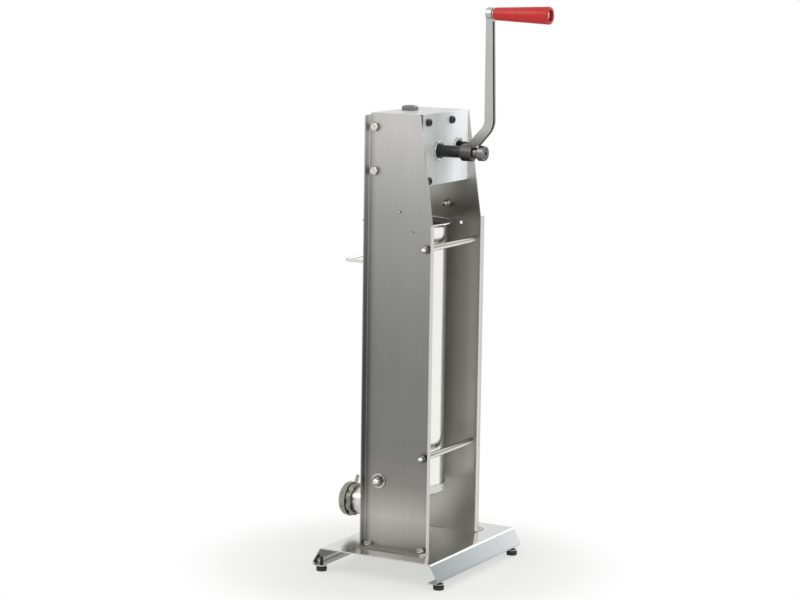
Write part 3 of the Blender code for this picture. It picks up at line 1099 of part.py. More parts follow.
def build_crank(iron, black, chrome, axis):
    """Crank: sleeve, grooved arm with hub and eye, and the clamping knob."""
    bore = SHAFT_RADIUS + CLEARANCE
    sleeve = revolved(((bore, 0.0), (SLEEVE_COLLAR_RADIUS, 0.0), (SLEEVE_COLLAR_RADIUS, SLEEVE_COLLAR),
                       (SLEEVE_RADIUS, SLEEVE_COLLAR),
                       (SLEEVE_RADIUS, SLEEVE_LENGTH), (bore, SLEEVE_LENGTH)))
    add_object("crank_sleeve", on_shaft(sleeve, SLEEVE_START), black, axis)
    start_z = MAIN_Z + ARM_START_RISE
    corners = [(HUB_MIDDLE, start_z), (ARM_MIDDLE_Y + ARM_LEAN, start_z + ARM_BEND_RISE),
               (ARM_MIDDLE_Y, GRIP_Z)]
    path = rounded(corners, ARM_BEND_RADIUS, closed=False, steps=ARM_BEND_STEPS)
    lengths = [0.0]
    for before, after in zip(path, path[1:]):
        lengths.append(lengths[-1] + (Vector(after) - Vector(before)).length)
    widths = [ARM_WIDTH_LOW + (ARM_WIDTH_HIGH - ARM_WIDTH_LOW) * run / lengths[-1] for run in lengths]
    upright = Matrix.Rotation(math.pi / 2, 4, "X")
    outward = Matrix.Rotation(math.pi / 2, 4, "Z")
    half = ARM_THICKNESS / 2
    arm_body = placed(prism(strip(path, widths), -half, half), upright, outward, shift(MAIN_X))
    arm = add_object("crank_arm", arm_body, iron, axis, math.radians(28))
    hub = revolved(((0.0, 0.0), (HUB_RADIUS - HUB_RIB, 0.0), (HUB_RADIUS, HUB_RIB),
                    (HUB_RADIUS, HUB_LENGTH - HUB_RIB),
                    (HUB_RADIUS - HUB_RIB, HUB_LENGTH), (0.0, HUB_LENGTH)))
    eye = revolved(((0.0, 0.0), (EYE_RADIUS - HUB_RIB / 2, 0.0), (EYE_RADIUS, HUB_RIB),
                    (EYE_RADIUS, EYE_LENGTH), (0.0, EYE_LENGTH)))
    boolean(arm, "join_hub_and_eye", together(on_shaft(hub, HUB_START), on_shaft(eye, EYE_START, z=GRIP_Z)),
            "UNION")
    boolean(arm, "cut_knob_seat", on_shaft(rod(KNOB_RADIUS + RUNNING_GAP, 0.0,
                                               KNOB_NECK + KNOB_LENGTH + HUB_LENGTH), HUB_END))
    bores = together(on_shaft(rod(bore, -HUB_LENGTH / 2, 1.5 * HUB_LENGTH), HUB_START),
                     on_shaft(rod(AXLE_RADIUS + RUNNING_GAP, -EYE_LENGTH, 2 * EYE_LENGTH, SMALL_TURN),
                              EYE_START, z=GRIP_Z))
    boolean(arm, "cut_bores", bores)
    groove_path = trimmed(path, lengths, GROOVE_FROM_HUB, lengths[-1] - GROOVE_FROM_EYE)
    groove = placed(prism(offset_strip(groove_path, ARM_WIDTH_LOW), -GROOVE_WIDTH / 2, GROOVE_WIDTH / 2),
                    upright, outward, shift(MAIN_X))
    boolean(arm, "cut_groove", groove)
    knob = revolved(((0.0, KNOB_BORE_DEPTH), (bore, KNOB_BORE_DEPTH), (bore, 0.0), (KNOB_NECK_RADIUS, 0.0),
                     (KNOB_NECK_RADIUS, KNOB_NECK),
                     (KNOB_RADIUS, KNOB_NECK), (KNOB_RADIUS, KNOB_NECK + KNOB_LENGTH * 0.85),
                     (KNOB_RADIUS * 0.88, KNOB_NECK + KNOB_LENGTH), (0.0, KNOB_NECK + KNOB_LENGTH)))
    turned = add_object("crank_knob", on_shaft(knob, KNOB_START), chrome, axis)
    lobes = scalloped(KNOB_NECK_RADIUS + KNOB_LOBE_DEPTH / 2, KNOB_LOBE_DEPTH, KNOB_LOBES, KNOB_NECK * 0.75)
    boolean(turned, "cut_knob_lobes", on_shaft(lobes, KNOB_START))


def trimmed(path, lengths, start, end):
    """Part of a path between two run lengths."""
    kept = []
    for i in range(len(path) - 1):
        low, high = lengths[i], lengths[i + 1]
        first, last = Vector(path[i]), Vector(path[i + 1])
        for run in (start, end):
            if low <= run < high:
                kept.append(tuple(first.lerp(last, (run - low) / (high - low))))
        if start < high < end:
            kept.append(path[i + 1])
    return sorted(kept, key=lambda point: point[1])


def offset_strip(path, width):
    """Strip beside a path, from the groove's bottom to beyond the arm's outer side."""
    bottom, beyond = [], []
    for i, point in enumerate(path):
        along = (Vector(path[min(i + 1, len(path) - 1)]) - Vector(path[max(i - 1, 0)])).normalized()
        outside = Vector((along.y, -along.x))
        bottom.append(tuple(Vector(point) + outside * (width / 2 - GROOVE_DEPTH)))
        beyond.append(tuple(Vector(point) + outside * width))
    return bottom + beyond[::-1]


def build_grip(red, steel, crank_axis, grip_axis):
    """Red grip that spins on an axle riveted into the arm's eye."""
    bore = AXLE_RADIUS + RUNNING_GAP
    recess = GRIP_LENGTH - GRIP_RECESS_DEPTH
    profile = [(bore, 0.0), (GRIP_RADIUS_INNER - GRIP_EDGE, 0.0), (GRIP_RADIUS_INNER, GRIP_EDGE),
               (GRIP_RADIUS_OUTER, GRIP_LENGTH - GRIP_EDGE), (GRIP_RADIUS_OUTER - GRIP_EDGE / 2,
                                                              GRIP_LENGTH - GRIP_EDGE / 4),
               (GRIP_RADIUS_OUTER - GRIP_EDGE, GRIP_LENGTH), (GRIP_RECESS_RADIUS, GRIP_LENGTH),
               (GRIP_RECESS_RADIUS, recess), (bore, recess)]
    add_object("grip", on_shaft(revolved(profile), GRIP_START, z=GRIP_Z), red, grip_axis)
    spacer = EYE_END + CLEARANCE
    head = GRIP_START + recess + CLEARANCE
    outline = ((0.0, EYE_START), (AXLE_RADIUS, EYE_START), (AXLE_RADIUS, spacer), (SPACER_RADIUS, spacer),
               (SPACER_RADIUS, spacer + GRIP_SPACER), (AXLE_RADIUS, spacer + GRIP_SPACER),
               (AXLE_RADIUS, head), (AXLE_HEAD_RADIUS, head), (AXLE_HEAD_RADIUS, head + AXLE_HEAD * 0.7),
               (AXLE_HEAD_RADIUS * 0.8, head + AXLE_HEAD), (0.0, head + AXLE_HEAD))
    add_object("grip_axle", on_shaft(revolved(outline, SMALL_TURN), 0.0, z=GRIP_Z), steel, crank_axis)


def main():
    """Clear the scene and build every piece."""
    for old in list(bpy.data.objects):
        bpy.data.objects.remove(old, do_unlink=True)
    brushed = material("brushed_steel", (0.62, 0.61, 0.59), 0.32, 1.0)
    polished = material("polished_steel", (0.80, 0.80, 0.80), 0.12, 1.0)
    cast = material("cast_alloy", (0.66, 0.66, 0.66), 0.38, 1.0)
    chrome = material("chrome", (0.75, 0.75, 0.74), 0.18, 1.0)
    iron = material("cast_iron", (0.42, 0.42, 0.42), 0.45, 0.9)
    bronze = material("bush_metal", (0.70, 0.68, 0.62), 0.35, 1.0)
    paint = material("grey_paint", (0.78, 0.80, 0.81), 0.40, 0.0)
    black = material("black_plastic", (0.02, 0.02, 0.02), 0.45, 0.0)
    rubber = material("black_rubber", (0.03, 0.03, 0.03), 0.75, 0.0)
    seal = material("white_silicone", (0.85, 0.85, 0.82), 0.50, 0.0)
    red = material("red_plastic", (0.62, 0.02, 0.015), 0.30, 0.0)

    piston_axis = add_axis("piston_axis", (0.0, 0.0, PISTON_BOTTOM))
    valve_axis = add_axis("valve_axis", (-VALVE_OFFSET, 0.0, PISTON_BOTTOM))
    main_axis = add_axis("main_axis", (MAIN_X, 0.0, MAIN_Z))
    second_axis = add_axis("second_axis", (SECOND_X, 0.0, SECOND_Z))
    grip_axis = add_axis("grip_axis", (MAIN_X, GRIP_START, GRIP_Z))
    nut_axis = add_axis("ring_nut_axis", (0.0, -RING_NUT_START, OUTLET_HEIGHT))

    build_base(polished)
    build_feet(rubber)
    build_panels(brushed)
    build_frame_fasteners(polished)
    build_carrier(cast)
    build_pivots(polished)
    build_cylinder(polished, polished, seal)
    build_ring_nut(chrome, nut_axis)
    build_gearbox(paint, bronze, black, polished)
    build_drive(polished, iron, black, main_axis)
    build_second_shaft(iron, second_axis)
    build_rack(polished, iron, piston_axis)
    build_piston(cast, seal, polished, piston_axis, valve_axis)
    build_crank(iron, black, chrome, main_axis)
    build_grip(red, polished, main_axis, grip_axis)

    for placed_object in bpy.data.objects:
        if placed_object.parent is None:
            placed_object.location.y -= (GRIP_END - RING_NUT_END) / 2


main()
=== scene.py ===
"""Looks of a vertical two-speed sausage stuffer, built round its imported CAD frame.

Frame: metres, +Z up, floor at Z = 0. The outlet points to -Y, the crank shafts
to +Y, and +X is the side that faces the camera.
"""

import json
import logging
import math
from dataclasses import dataclass
from enum import Enum
from typing import Callable, Sequence

import bmesh
import bpy
from mathutils import Matrix, Vector

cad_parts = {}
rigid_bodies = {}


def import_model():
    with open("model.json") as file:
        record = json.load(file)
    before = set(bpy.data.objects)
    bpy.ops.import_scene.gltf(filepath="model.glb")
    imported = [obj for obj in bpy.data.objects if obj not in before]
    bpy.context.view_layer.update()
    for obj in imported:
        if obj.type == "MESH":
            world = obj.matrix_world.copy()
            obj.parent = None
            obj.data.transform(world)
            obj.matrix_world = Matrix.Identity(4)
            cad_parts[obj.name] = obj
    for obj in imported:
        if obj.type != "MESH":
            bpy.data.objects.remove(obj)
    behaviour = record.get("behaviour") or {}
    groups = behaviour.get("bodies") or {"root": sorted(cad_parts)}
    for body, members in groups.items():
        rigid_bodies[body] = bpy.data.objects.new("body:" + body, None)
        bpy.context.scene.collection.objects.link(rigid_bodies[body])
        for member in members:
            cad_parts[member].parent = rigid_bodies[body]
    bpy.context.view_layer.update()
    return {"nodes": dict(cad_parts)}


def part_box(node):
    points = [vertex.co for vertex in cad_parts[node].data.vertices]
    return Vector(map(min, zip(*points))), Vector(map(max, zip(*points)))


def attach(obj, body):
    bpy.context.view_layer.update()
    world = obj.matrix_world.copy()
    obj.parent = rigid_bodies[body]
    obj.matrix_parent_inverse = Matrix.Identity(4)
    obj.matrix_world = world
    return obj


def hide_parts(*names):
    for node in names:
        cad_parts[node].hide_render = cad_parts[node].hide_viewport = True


for leftover in list(bpy.data.objects):
    bpy.data.objects.remove(leftover, do_unlink=True)
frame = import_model()

LOG = logging.getLogger("stuffer")
Point = tuple[float, float, float]
Colour = tuple[float, float, float]
Stops = tuple[tuple[float, str], ...]
Outline = Sequence[tuple[float, float]]
Seats = Sequence[tuple[Vector, Vector]]
Reshape = Callable[[Vector], None]
Shape = bmesh.types.BMesh
Thing = bpy.types.Object

SIDES = ("right", "left")
ORIGIN = (0.0, 0.0, 0.0)
WHITE = (1.0, 1.0, 1.0)
MERGE = 1e-6  # corners nearer than this become one
CAD_MERGE = MERGE * 20  # the same for the loose triangles of a CAD node
FLAT = 0.6  # degrees within which the faces of a CAD node lie in one plane
BEVEL_STEPS = 2
LATHE_CORE = 0.001  # radius of the circle that an outline is swept along
SPIN_SEED = 7


class Axis(Enum):
    """A direction of the machine's frame."""

    X = (1.0, 0.0, 0.0)
    Y = (0.0, 1.0, 0.0)
    Z = (0.0, 0.0, 1.0)

    def across(self) -> Matrix:
        """Rotation that lays a piece that stands on +Z along this axis."""
        turn = Vector(Axis.Z.value).rotation_difference(Vector(self.value))
        return turn.to_matrix().to_4x4()

    def stretched(self, along: float, across: float) -> Point:
        """Scale of a grain that runs along this axis."""
        grain = [along if part else across for part in self.value]
        return (grain[0], grain[1], grain[2])


class Crease(Enum):
    """Angle in degrees above which an edge stays sharp."""

    SHEET = 32.0
    TURNED = 35.0
    CASTING = 38.0
    ROD = 50.0
    TUBE = 60.0


def shade(code: str) -> Colour:
    """Linear colour of a hexadecimal screen colour.

    Args:
        code: six hexadecimal digits, red first.

    Returns:
        Red, green and blue from 0 to 1, linear.
    """
    parts = [int(code[i:i + 2], 16) / 255 for i in (0, 2, 4)]
    linear = [p / 12.92 if p <= 0.04045 else ((p + 0.055) / 1.055) ** 2.4 for p in parts]
    return (linear[0], linear[1], linear[2])


class Value:
    """A socket of a node tree that Python expressions can work on."""

    def __init__(self, tree: "Tree", socket: bpy.types.NodeSocket) -> None:
        """Wrap an output socket of a tree."""
        self.tree = tree
        self.socket = socket

    def _with(self, operation: str, *others: object) -> "Value":
        """Add one Math node on this value and the others."""
        sockets = dict(enumerate((self, *others)))
        return self.tree.add("ShaderNodeMath", {"operation": operation}, sockets)

    def __add__(self, other: object) -> "Value":
        """Sum."""
        return self._with("ADD", other)

    __radd__ = __add__

    def __mul__(self, other: object) -> "Value":
        """Product."""
        return self._with("MULTIPLY", other)

    __rmul__ = __mul__

    def __sub__(self, other: object) -> "Value":
        """Difference."""
        return self._with("SUBTRACT", other)

    def __rsub__(self, other: float) -> "Value":
        """Difference from a number."""
        return self._with("MULTIPLY", -1.0)._with("ADD", other)

    def __truediv__(self, other: object) -> "Value":
        """Quotient."""
        return self._with("DIVIDE", other)

    def __abs__(self) -> "Value":
        """Size without sign."""
        return self._with("ABSOLUTE")

    def sine(self) -> "Value":
        """Sine."""
        return self._with("SINE")

    def root(self) -> "Value":
        """Square root."""
        return self._with("SQRT")

    def between(self, low: float, high: float) -> "Value":
        """Smooth rise from 0 at low to 1 at high."""
        sockets = {"Value": self, "From Min": low, "From Max": high, "To Min": 0.0, "To Max": 1.0}
        return self.tree.add("ShaderNodeMapRange", {"interpolation_type": "SMOOTHSTEP"}, sockets)


class Tree:
    """Node tree whose nodes all come from one method."""

    def __init__(self, tree: bpy.types.NodeTree) -> None:
        """Take over a tree and empty it."""
        self.tree = tree
        self.tree.nodes.clear()

    def add(self, kind: str, settings: dict[str, object] | None = None,
            sockets: dict[object, object] | None = None, output: object = 0) -> Value | None:
        """Add one node.

        Args:
            kind: the node's type.
            settings: properties set first; "stops" holds a ramp's positions and screen colours.
            sockets: values or links of its inputs, by name or number.
            output: the output to hand back, by name or number.

        Returns:
            The chosen output, or None for a node that has none.
        """
        node = self.tree.nodes.new(kind)
        for key, setting in (settings or {}).items():
            if key == "stops":
                self._fill_ramp(node.color_ramp, setting)
            else:
                setattr(node, key, setting)
        for key, value in (sockets or {}).items():
            if isinstance(value, Value):
                self.tree.links.new(value.socket, node.inputs[key])
            else:
                node.inputs[key].default_value = value
        return Value(self, node.outputs[output]) if node.outputs else None

    def _fill_ramp(self, ramp: bpy.types.ColorRamp, stops: Stops) -> None:
        """Give a colour ramp its stops.

        Args:
            ramp: a new ramp, which has two stops.
            stops: positions and screen colours.
        """
        while len(ramp.elements) < len(stops):
            ramp.elements.new(1.0)
        for element, (place, code) in zip(ramp.elements, stops):
            element.position = place
            element.color = (*shade(code), 1.0)

    def seen(self) -> Value:
        """Mask of the rays that see the white background.

        Returns:
            1 for camera, glossy and transmission rays, or else 0.
        """
        kinds = ("Is Camera Ray", "Is Glossy Ray", "Is Transmission Ray")
        rays = [self.add("ShaderNodeLightPath", output=kind) for kind in kinds]
        return (rays[0] + rays[1] + rays[2]).between(0.0, 1.0)


class Surface(Tree):
    """Node tree of one material."""

    def __init__(self, name: str) -> None:
        """Start an empty material.

        Args:
            name: the material's name.
        """
        self.material = bpy.data.materials.new(name)
        self.material.use_nodes = True
        super().__init__(self.material.node_tree)

    def vector(self, operation: str, first: Value, second: Point, output: object = 0) -> Value:
        """Add one Vector Math node."""
        sockets = {0: first, 1: second}
        return self.add("ShaderNodeVectorMath", {"operation": operation}, sockets, output)

    def place(self, location: Point = ORIGIN, scale: Point = WHITE) -> Value:
        """Object coordinates, moved and then stretched.

        Args:
            location: the point that becomes the origin.
            scale: factor along each axis.

        Returns:
            The coordinates.
        """
        here = self.add("ShaderNodeTexCoord", output="Object")
        return self.vector("MULTIPLY", self.vector("SUBTRACT", here, location), scale)

    def along(self, axis: Axis) -> Value:
        """One object coordinate."""
        return self.add("ShaderNodeSeparateXYZ", None, {0: self.place()}, axis.name)

    def reach(self, centre: Point, axis: Axis) -> Value:
        """Distance from a line through a point, along an axis."""
        flat = self.place(centre, axis.stretched(0.0, 1.0))
        return self.vector("LENGTH", flat, ORIGIN, "Value")

    def mix(self, factor: object, first: object, second: object) -> Value:
        """Mix two colours by a factor."""
        sockets = {0: factor, 6: _rgba(first), 7: _rgba(second)}
        return self.add("ShaderNodeMix", {"data_type": "RGBA"}, sockets, 2)

    def lit(self, colour: object, level: object) -> Value:
        """Scale a colour's brightness."""
        sockets = {"Color": _rgba(colour), "Value": level}
        return self.add("ShaderNodeHueSaturation", None, sockets)

    def bump(self, height: Value, distance: float, strength: float) -> Value:
        """Normal from a height of 0 to 1 that stands out by a distance."""
        sockets = {"Height": height, "Distance": distance, "Strength": strength}
        return self.add("ShaderNodeBump", None, sockets)

    def principled(self, **inputs: object) -> Value:
        """Add the Principled shader, with underscores for spaces in its inputs."""
        sockets = {key.replace("_", " "): value for key, value in inputs.items()}
        return self.add("ShaderNodeBsdfPrincipled", None, sockets)

    def close(self, shader: Value) -> bpy.types.Material:
        """Lead a shader to the material's output."""
        self.add("ShaderNodeOutputMaterial", None, {"Surface": shader})
        return self.material


def _rgba(colour: object) -> object:
    """Give a plain colour its alpha and leave a socket alone."""
    return colour if isinstance(colour, Value) else (*colour, 1.0)


@dataclass(frozen=True)
class Grain:
    """Noise pattern that may be stretched along an axis."""

    scale: float = 1.0
    detail: float = 3.0
    roughness: float = 0.5
    along: float = 1.0
    across: float = 1.0

    def on(self, surface: Surface, axis: Axis = Axis.Z) -> Value:
        """Add the noise, from 0 to 1, to a surface."""
        sockets = {"Vector": surface.place(scale=axis.stretched(self.along, self.across)),
                   "Scale": self.scale, "Detail": self.detail, "Roughness": self.roughness}
        return surface.add("ShaderNodeTexNoise", None, sockets)


LINES = Grain(detail=2.0, along=6.0, across=2600.0)
BANDS = Grain(detail=2.0, along=1.5, across=200.0)
HAIR = Grain(along=8.0, across=900.0)
SHEET_CLOUD = Grain(along=7.0, across=14.0)
STEEL_CLOUD = Grain(22.0, 4.0)
TUBE_CLOUD = Grain(14.0)
FINE_CLOUD = Grain(300.0)
CAST_CLOUD = Grain(35.0)
COAT_CLOUD = Grain(14.0, 2.0)
TURNED_CLOUD = Grain(180.0)
PEEL = Grain(900.0, 2.0)
SKIN = Grain(1600.0, 2.0)
SCUFFS = Grain(60.0, 5.0, 0.6)


@dataclass(frozen=True)
class Drift:
    """Tone that changes along an axis of the machine."""

    axis: Axis
    low: float
    high: float
    stops: Stops

    def tone(self, surface: Surface) -> Value:
        """Add the colour ramp."""
        share = (surface.along(self.axis) - self.low) / (self.high - self.low)
        return surface.add("ShaderNodeValToRGB", {"stops": self.stops}, {0: share})


@dataclass(frozen=True)
class Finish:
    """A material that is made once and then shared; the CAD frame uses none of the names."""

    name: str
    tint: Colour | Drift
    roughness: float

    def material(self) -> bpy.types.Material:
        """Return the material, made on first use.

        Returns:
            The shared material.
        """
        made = bpy.data.materials.get(self.name)
        if made is None:
            surface = Surface(self.name)
            made = surface.close(self.paint(surface))
        return made

    def tone(self, surface: Surface) -> object:
        """Colour before wear: a drift, or one colour."""
        return self.tint.tone(surface) if isinstance(self.tint, Drift) else self.tint

    def paint(self, surface: Surface) -> Value:
        """Lay out the material's nodes and return its shader."""
        raise NotImplementedError


@dataclass(frozen=True)
class BrushedSheet(Finish):
    """Brushed stainless sheet whose tones are painted reflection and shade, another on its inner
    side, with a painted highlight on its rear flange.
    """

    outer_face: float
    rear_face: float
    inner_tint: Drift
    flange_colour: Colour
    sheet: float = 0.0022
    fade: float = 0.0004
    relief: float = 0.00002

    def paint(self, surface: Surface) -> Value:
        """Lay grain lines in tone, roughness and bump over the painted reflection and shade.

        Args:
            surface: the material's tree.

        Returns:
            The shader.
        """
        lines, bands, cloud = LINES.on(surface), BANDS.on(surface), SHEET_CLOUD.on(surface)
        outside = abs(surface.along(Axis.X)).between(self.outer_face - self.fade, self.outer_face)
        flange_face = self.rear_face - self.sheet
        flange = surface.along(Axis.Y).between(flange_face - self.fade, flange_face)
        web = surface.mix(outside, self.inner_tint.tone(surface), self.tone(surface))
        tone = surface.mix(flange, web, self.flange_colour)
        level = 0.80 + lines * 0.10 + bands * 0.10 + cloud * 0.20
        return surface.principled(
            Base_Color=surface.lit(tone, level), Metallic=1.0,
            Roughness=self.roughness + lines * 0.10 + cloud * 0.06,
            Normal=surface.bump(lines, self.relief, 0.4))


@dataclass(frozen=True)
class PolishedSteel(Finish):
    """Bright stainless with faint smears and fine rubbing lines."""

    rubbing: Axis = Axis.Z
    smear: float = 0.06
    relief: float = 0.00001

    def paint(self, surface: Surface) -> Value:
        """Lay smears in tone and roughness, hair lines in bump.

        Args:
            surface: the material's tree.

        Returns:
            The shader.
        """
        hair, cloud = HAIR.on(surface, self.rubbing), STEEL_CLOUD.on(surface)
        return surface.principled(
            Base_Color=surface.lit(self.tone(surface), 0.94 + cloud * 0.08), Metallic=1.0,
            Roughness=self.roughness + cloud * self.smear + hair * 0.02,
            Normal=surface.bump(hair, self.relief, 0.35))


@dataclass(frozen=True, kw_only=True)
class BasePlate(PolishedSteel):
    """Polished platform with a satin rear wing."""

    wing_tint: Drift
    wing_start: float
    fade: float = 0.002

    def tone(self, surface: Surface) -> object:
        """Platform colour, and the rear wing's satin grey with painted shade."""
        wing = surface.along(Axis.Y).between(self.wing_start - self.fade, self.wing_start)
        return surface.mix(wing, self.tint, self.wing_tint.tone(surface))


@dataclass(frozen=True)
class Tube(Finish):
    """Bright tube with painted shade inside its wall and flare and a painted reflection line down
    one side.
    """

    centre: Point
    flare_start: float
    radius: float = 0.07
    flare: float = 0.009
    skin: tuple[float, float] = (0.0003, 0.0007)
    rim: tuple[float, float] = (0.0768, 0.0774)
    blend: float = 0.0001
    seam_side: tuple[float, float] = (-0.489, 0.872)
    seam_start: tuple[float, float] = (0.958, 0.968)
    seam_end: tuple[float, float] = (0.980, 0.990)
    seam_colour: Colour = shade("55544F")
    inside_colour: Colour = (0.085, 0.082, 0.075)
    relief: float = 0.00001

    def inner(self, surface: Surface) -> Value:
        """Mask of the painted shade on the inner side, by the reach from the centre of the
        flare's bend.

        Args:
            surface: the material's tree.

        Returns:
            1 on the inner side, 0 outside and on the rim.
        """
        reach = surface.reach(self.centre, Axis.Z)
        rise = surface.along(Axis.Z) - self.flare_start
        above = rise * rise.between(0.0, self.blend)
        out = reach - (self.radius + self.flare)
        bend = (out * out + above * above).root() - self.flare
        return bend.between(*self.skin) * (1.0 - reach.between(*self.rim))

    def paint(self, surface: Surface) -> Value:
        """Lay hair lines over the outside, the painted reflection line and the painted shade of
        the inner side.

        Args:
            surface: the material's tree.

        Returns:
            The shader.
        """
        hair, cloud = HAIR.on(surface), TUBE_CLOUD.on(surface)
        # The inner side gets painted shade: dark, non-metallic and rougher.
        inner_shade = self.inner(surface)
        # A painted reflection line, drawn as a dark stripe, runs down one side of the tube.
        towards = (self.seam_side[0] / self.radius, self.seam_side[1] / self.radius, 0.0)
        side = surface.vector("DOT_PRODUCT", surface.place(self.centre), towards, "Value")
        reflection_line = side.between(*self.seam_start) * (1.0 - side.between(*self.seam_end))
        wall = surface.lit(self.tone(surface), 0.95 + cloud * 0.06)
        tone = surface.mix(reflection_line * 0.75, wall, self.seam_colour)
        return surface.principled(
            Base_Color=surface.mix(inner_shade, tone, self.inside_colour), Metallic=1.0 - inner_shade,
            Roughness=self.roughness + cloud * 0.05 + inner_shade * 0.35,
            Normal=surface.bump(hair, self.relief, 0.3))


@dataclass(frozen=True)
class Capped(Finish):
    """Steel with another colour at its root along an axis, painted shade on nut and screw
    hexagons; on X both ends count.
    """

    axis: Axis
    split: float
    root_colour: Colour
    fade: float = 0.0002
    relief: float = 0.00002

    def paint(self, surface: Surface) -> Value:
        """Part two tones by the reach along the axis.

        Args:
            surface: the material's tree.

        Returns:
            The shader.
        """
        cloud = FINE_CLOUD.on(surface)
        reach = surface.along(self.axis)
        if self.axis is Axis.X:
            reach = abs(reach)
        end = reach.between(self.split - self.fade, self.split + self.fade)
        tone = surface.mix(end, self.root_colour, self.tone(surface))
        return surface.principled(
            Base_Color=surface.lit(tone, 0.92 + cloud * 0.12), Metallic=1.0,
            Roughness=self.roughness + cloud * 0.10, Normal=surface.bump(cloud, self.relief, 0.3))


@dataclass(frozen=True)
class CastMetal(Finish):
    """Cast metal with a fine skin and a slightly uneven tone."""

    grain_size: float = 0.0012
    relief: float = 0.00008

    def paint(self, surface: Surface) -> Value:
        """Lay a granular skin over slow changes of tone.

        Args:
            surface: the material's tree.

        Returns:
            The shader.
        """
        grain = Grain(1.0 / self.grain_size, roughness=0.6).on(surface)
        cloud = CAST_CLOUD.on(surface)
        level = 0.82 + cloud * 0.18 + grain * 0.10
        return surface.principled(
            Base_Color=surface.lit(self.tone(surface), level), Metallic=1.0,
            Roughness=self.roughness + grain * 0.12 - cloud * 0.05,
            Normal=surface.bump(grain, self.relief, 0.6))


@dataclass(frozen=True)
class PowderCoat(Finish):
    """Semi-gloss powder coat with its orange peel."""

    relief: float = 0.00003

    def paint(self, surface: Surface) -> Value:
        """Lay orange peel in bump and a trace of mottle in colour.

        Args:
            surface: the material's tree.

        Returns:
            The shader.
        """
        peel, cloud = PEEL.on(surface), COAT_CLOUD.on(surface)
        return surface.principled(
            Base_Color=surface.lit(self.tone(surface), 0.97 + cloud * 0.05),
            Roughness=self.roughness + peel * 0.06, Coat_Weight=0.25, Coat_Roughness=0.18,
            Normal=surface.bump(peel, self.relief, 0.5))


@dataclass(frozen=True, kw_only=True)
class ShadedCover(PowderCoat):
    """Coated cover with a painted shadow strip for the gap beside the panel's slope."""

    edge: float
    gap_low: float
    gap_high: float
    gap_width: float
    gap_colour: Colour
    blend: tuple[float, float] = (-0.0012, 0.0004)

    def tone(self, surface: Surface) -> object:
        """Painted shade across the cover, with a painted shadow strip that widens upwards.

        Args:
            surface: the material's tree.

        Returns:
            The tone.
        """
        share = (surface.along(Axis.Z) - self.gap_low) / (self.gap_high - self.gap_low)
        inner = surface.along(Axis.X) - self.edge + share * self.gap_width
        return surface.mix(inner.between(*self.blend), super().tone(surface), self.gap_colour)


@dataclass(frozen=True)
class Moulded(Finish):
    """Moulded plastic or rubber with a fine skin."""

    relief: float = 0.00002
    scuff: float = 0.08
    worn: tuple[float, float] = (0.45, 0.75)
    worn_gain: float = 1.12
    worn_lift: float = 0.004

    def paint(self, surface: Surface) -> Value:
        """Lay a skin in bump, scuffs in roughness and tone.

        Args:
            surface: the material's tree.

        Returns:
            The shader.
        """
        skin, scuff = SKIN.on(surface), SCUFFS.on(surface)
        light = tuple(part * self.worn_gain + self.worn_lift for part in self.tint)
        return surface.principled(
            Base_Color=surface.mix(scuff.between(*self.worn), self.tint, light),
            Roughness=self.roughness + scuff * self.scuff,
            Normal=surface.bump(skin, self.relief, 0.5))


@dataclass(frozen=True)
class TurnedMetal(Finish):
    """Metal faced on a lathe: rings round an axis along Y."""

    centre: Point
    pitch: float = 0.0004
    relief: float = 0.00002

    def paint(self, surface: Surface) -> Value:
        """Lay rings round the axis in tone and bump.

        Args:
            surface: the material's tree.

        Returns:
            The shader.
        """
        turn = surface.reach(self.centre, Axis.Y) * (math.tau / self.pitch)
        rings = turn.sine() * 0.5 + 0.5
        cloud = TURNED_CLOUD.on(surface)
        level = 0.80 + rings * 0.14 + cloud * 0.12
        return surface.principled(
            Base_Color=surface.lit(self.tone(surface), level), Metallic=1.0,
            Roughness=self.roughness + cloud * 0.1, Normal=surface.bump(rings, self.relief, 0.4))


@dataclass(frozen=True)
class StudioFloor(Finish):
    """Pale floor that keeps part of the object's shadow, with a painted shadow round the machine,
    and fades to white far away.
    """

    # Centre of the painted shadow, set off towards where the machine's shadow falls.
    centre: Point = (0.02, -0.06, 0.0)
    fade: tuple[float, float] = (0.18, 0.42)
    shadow_share: float = 0.32
    # Grey of the glow near the machine, a painted shadow.
    near_glow: Colour = (0.84, 0.84, 0.82)

    def paint(self, surface: Surface) -> Value:
        """Mix the lit floor with a glow for the rays that see the background: grey near the
        machine as painted shadow, white far away.

        Args:
            surface: the material's tree.

        Returns:
            The shader.
        """
        pale = surface.principled(Base_Color=_rgba(self.tint), Roughness=self.roughness,
                                  Specular_IOR_Level=0.0)
        far = surface.reach(self.centre, Axis.Z).between(*self.fade)
        glow = surface.mix(far, self.near_glow, WHITE)
        white = surface.add("ShaderNodeEmission", None, {"Color": glow, "Strength": 1.0})
        share = (far * self.shadow_share + (1.0 - self.shadow_share)) * surface.seen()
        return surface.add("ShaderNodeMixShader", None, {0: share, 1: pale, 2: white})


# Painted reflection and shade on the panels' outer faces: lighter towards the top, darker lower
# down, with a light band near the foot.
PANEL_PAINTED_REFLECTION = Drift(Axis.Z, 0.05, 0.77, (
    (0.00, "8E8B87"), (0.07, "B3AFAB"), (0.15, "8D8A86"), (0.23, "81817D"), (0.42, "82837E"),
    (0.60, "8E8E8A"), (0.80, "A3A3A0"), (0.92, "B8B8B4"), (1.00, "C6C4C1")))
# Painted reflection and shade on the panels' inner faces: lightest at the foot, darker higher up,
# with a dark band below the top.
INNER_PAINTED_REFLECTION = Drift(Axis.Z, 0.05, 0.77, (
    (0.00, "DAD8D2"), (0.10, "D6D4CE"), (0.22, "B4B2AC"), (0.40, "A6A49E"), (0.72, "9E9C96"),
    (0.80, "8A8780"), (0.87, "C0BEBA"), (1.00, "CCCAC6")))
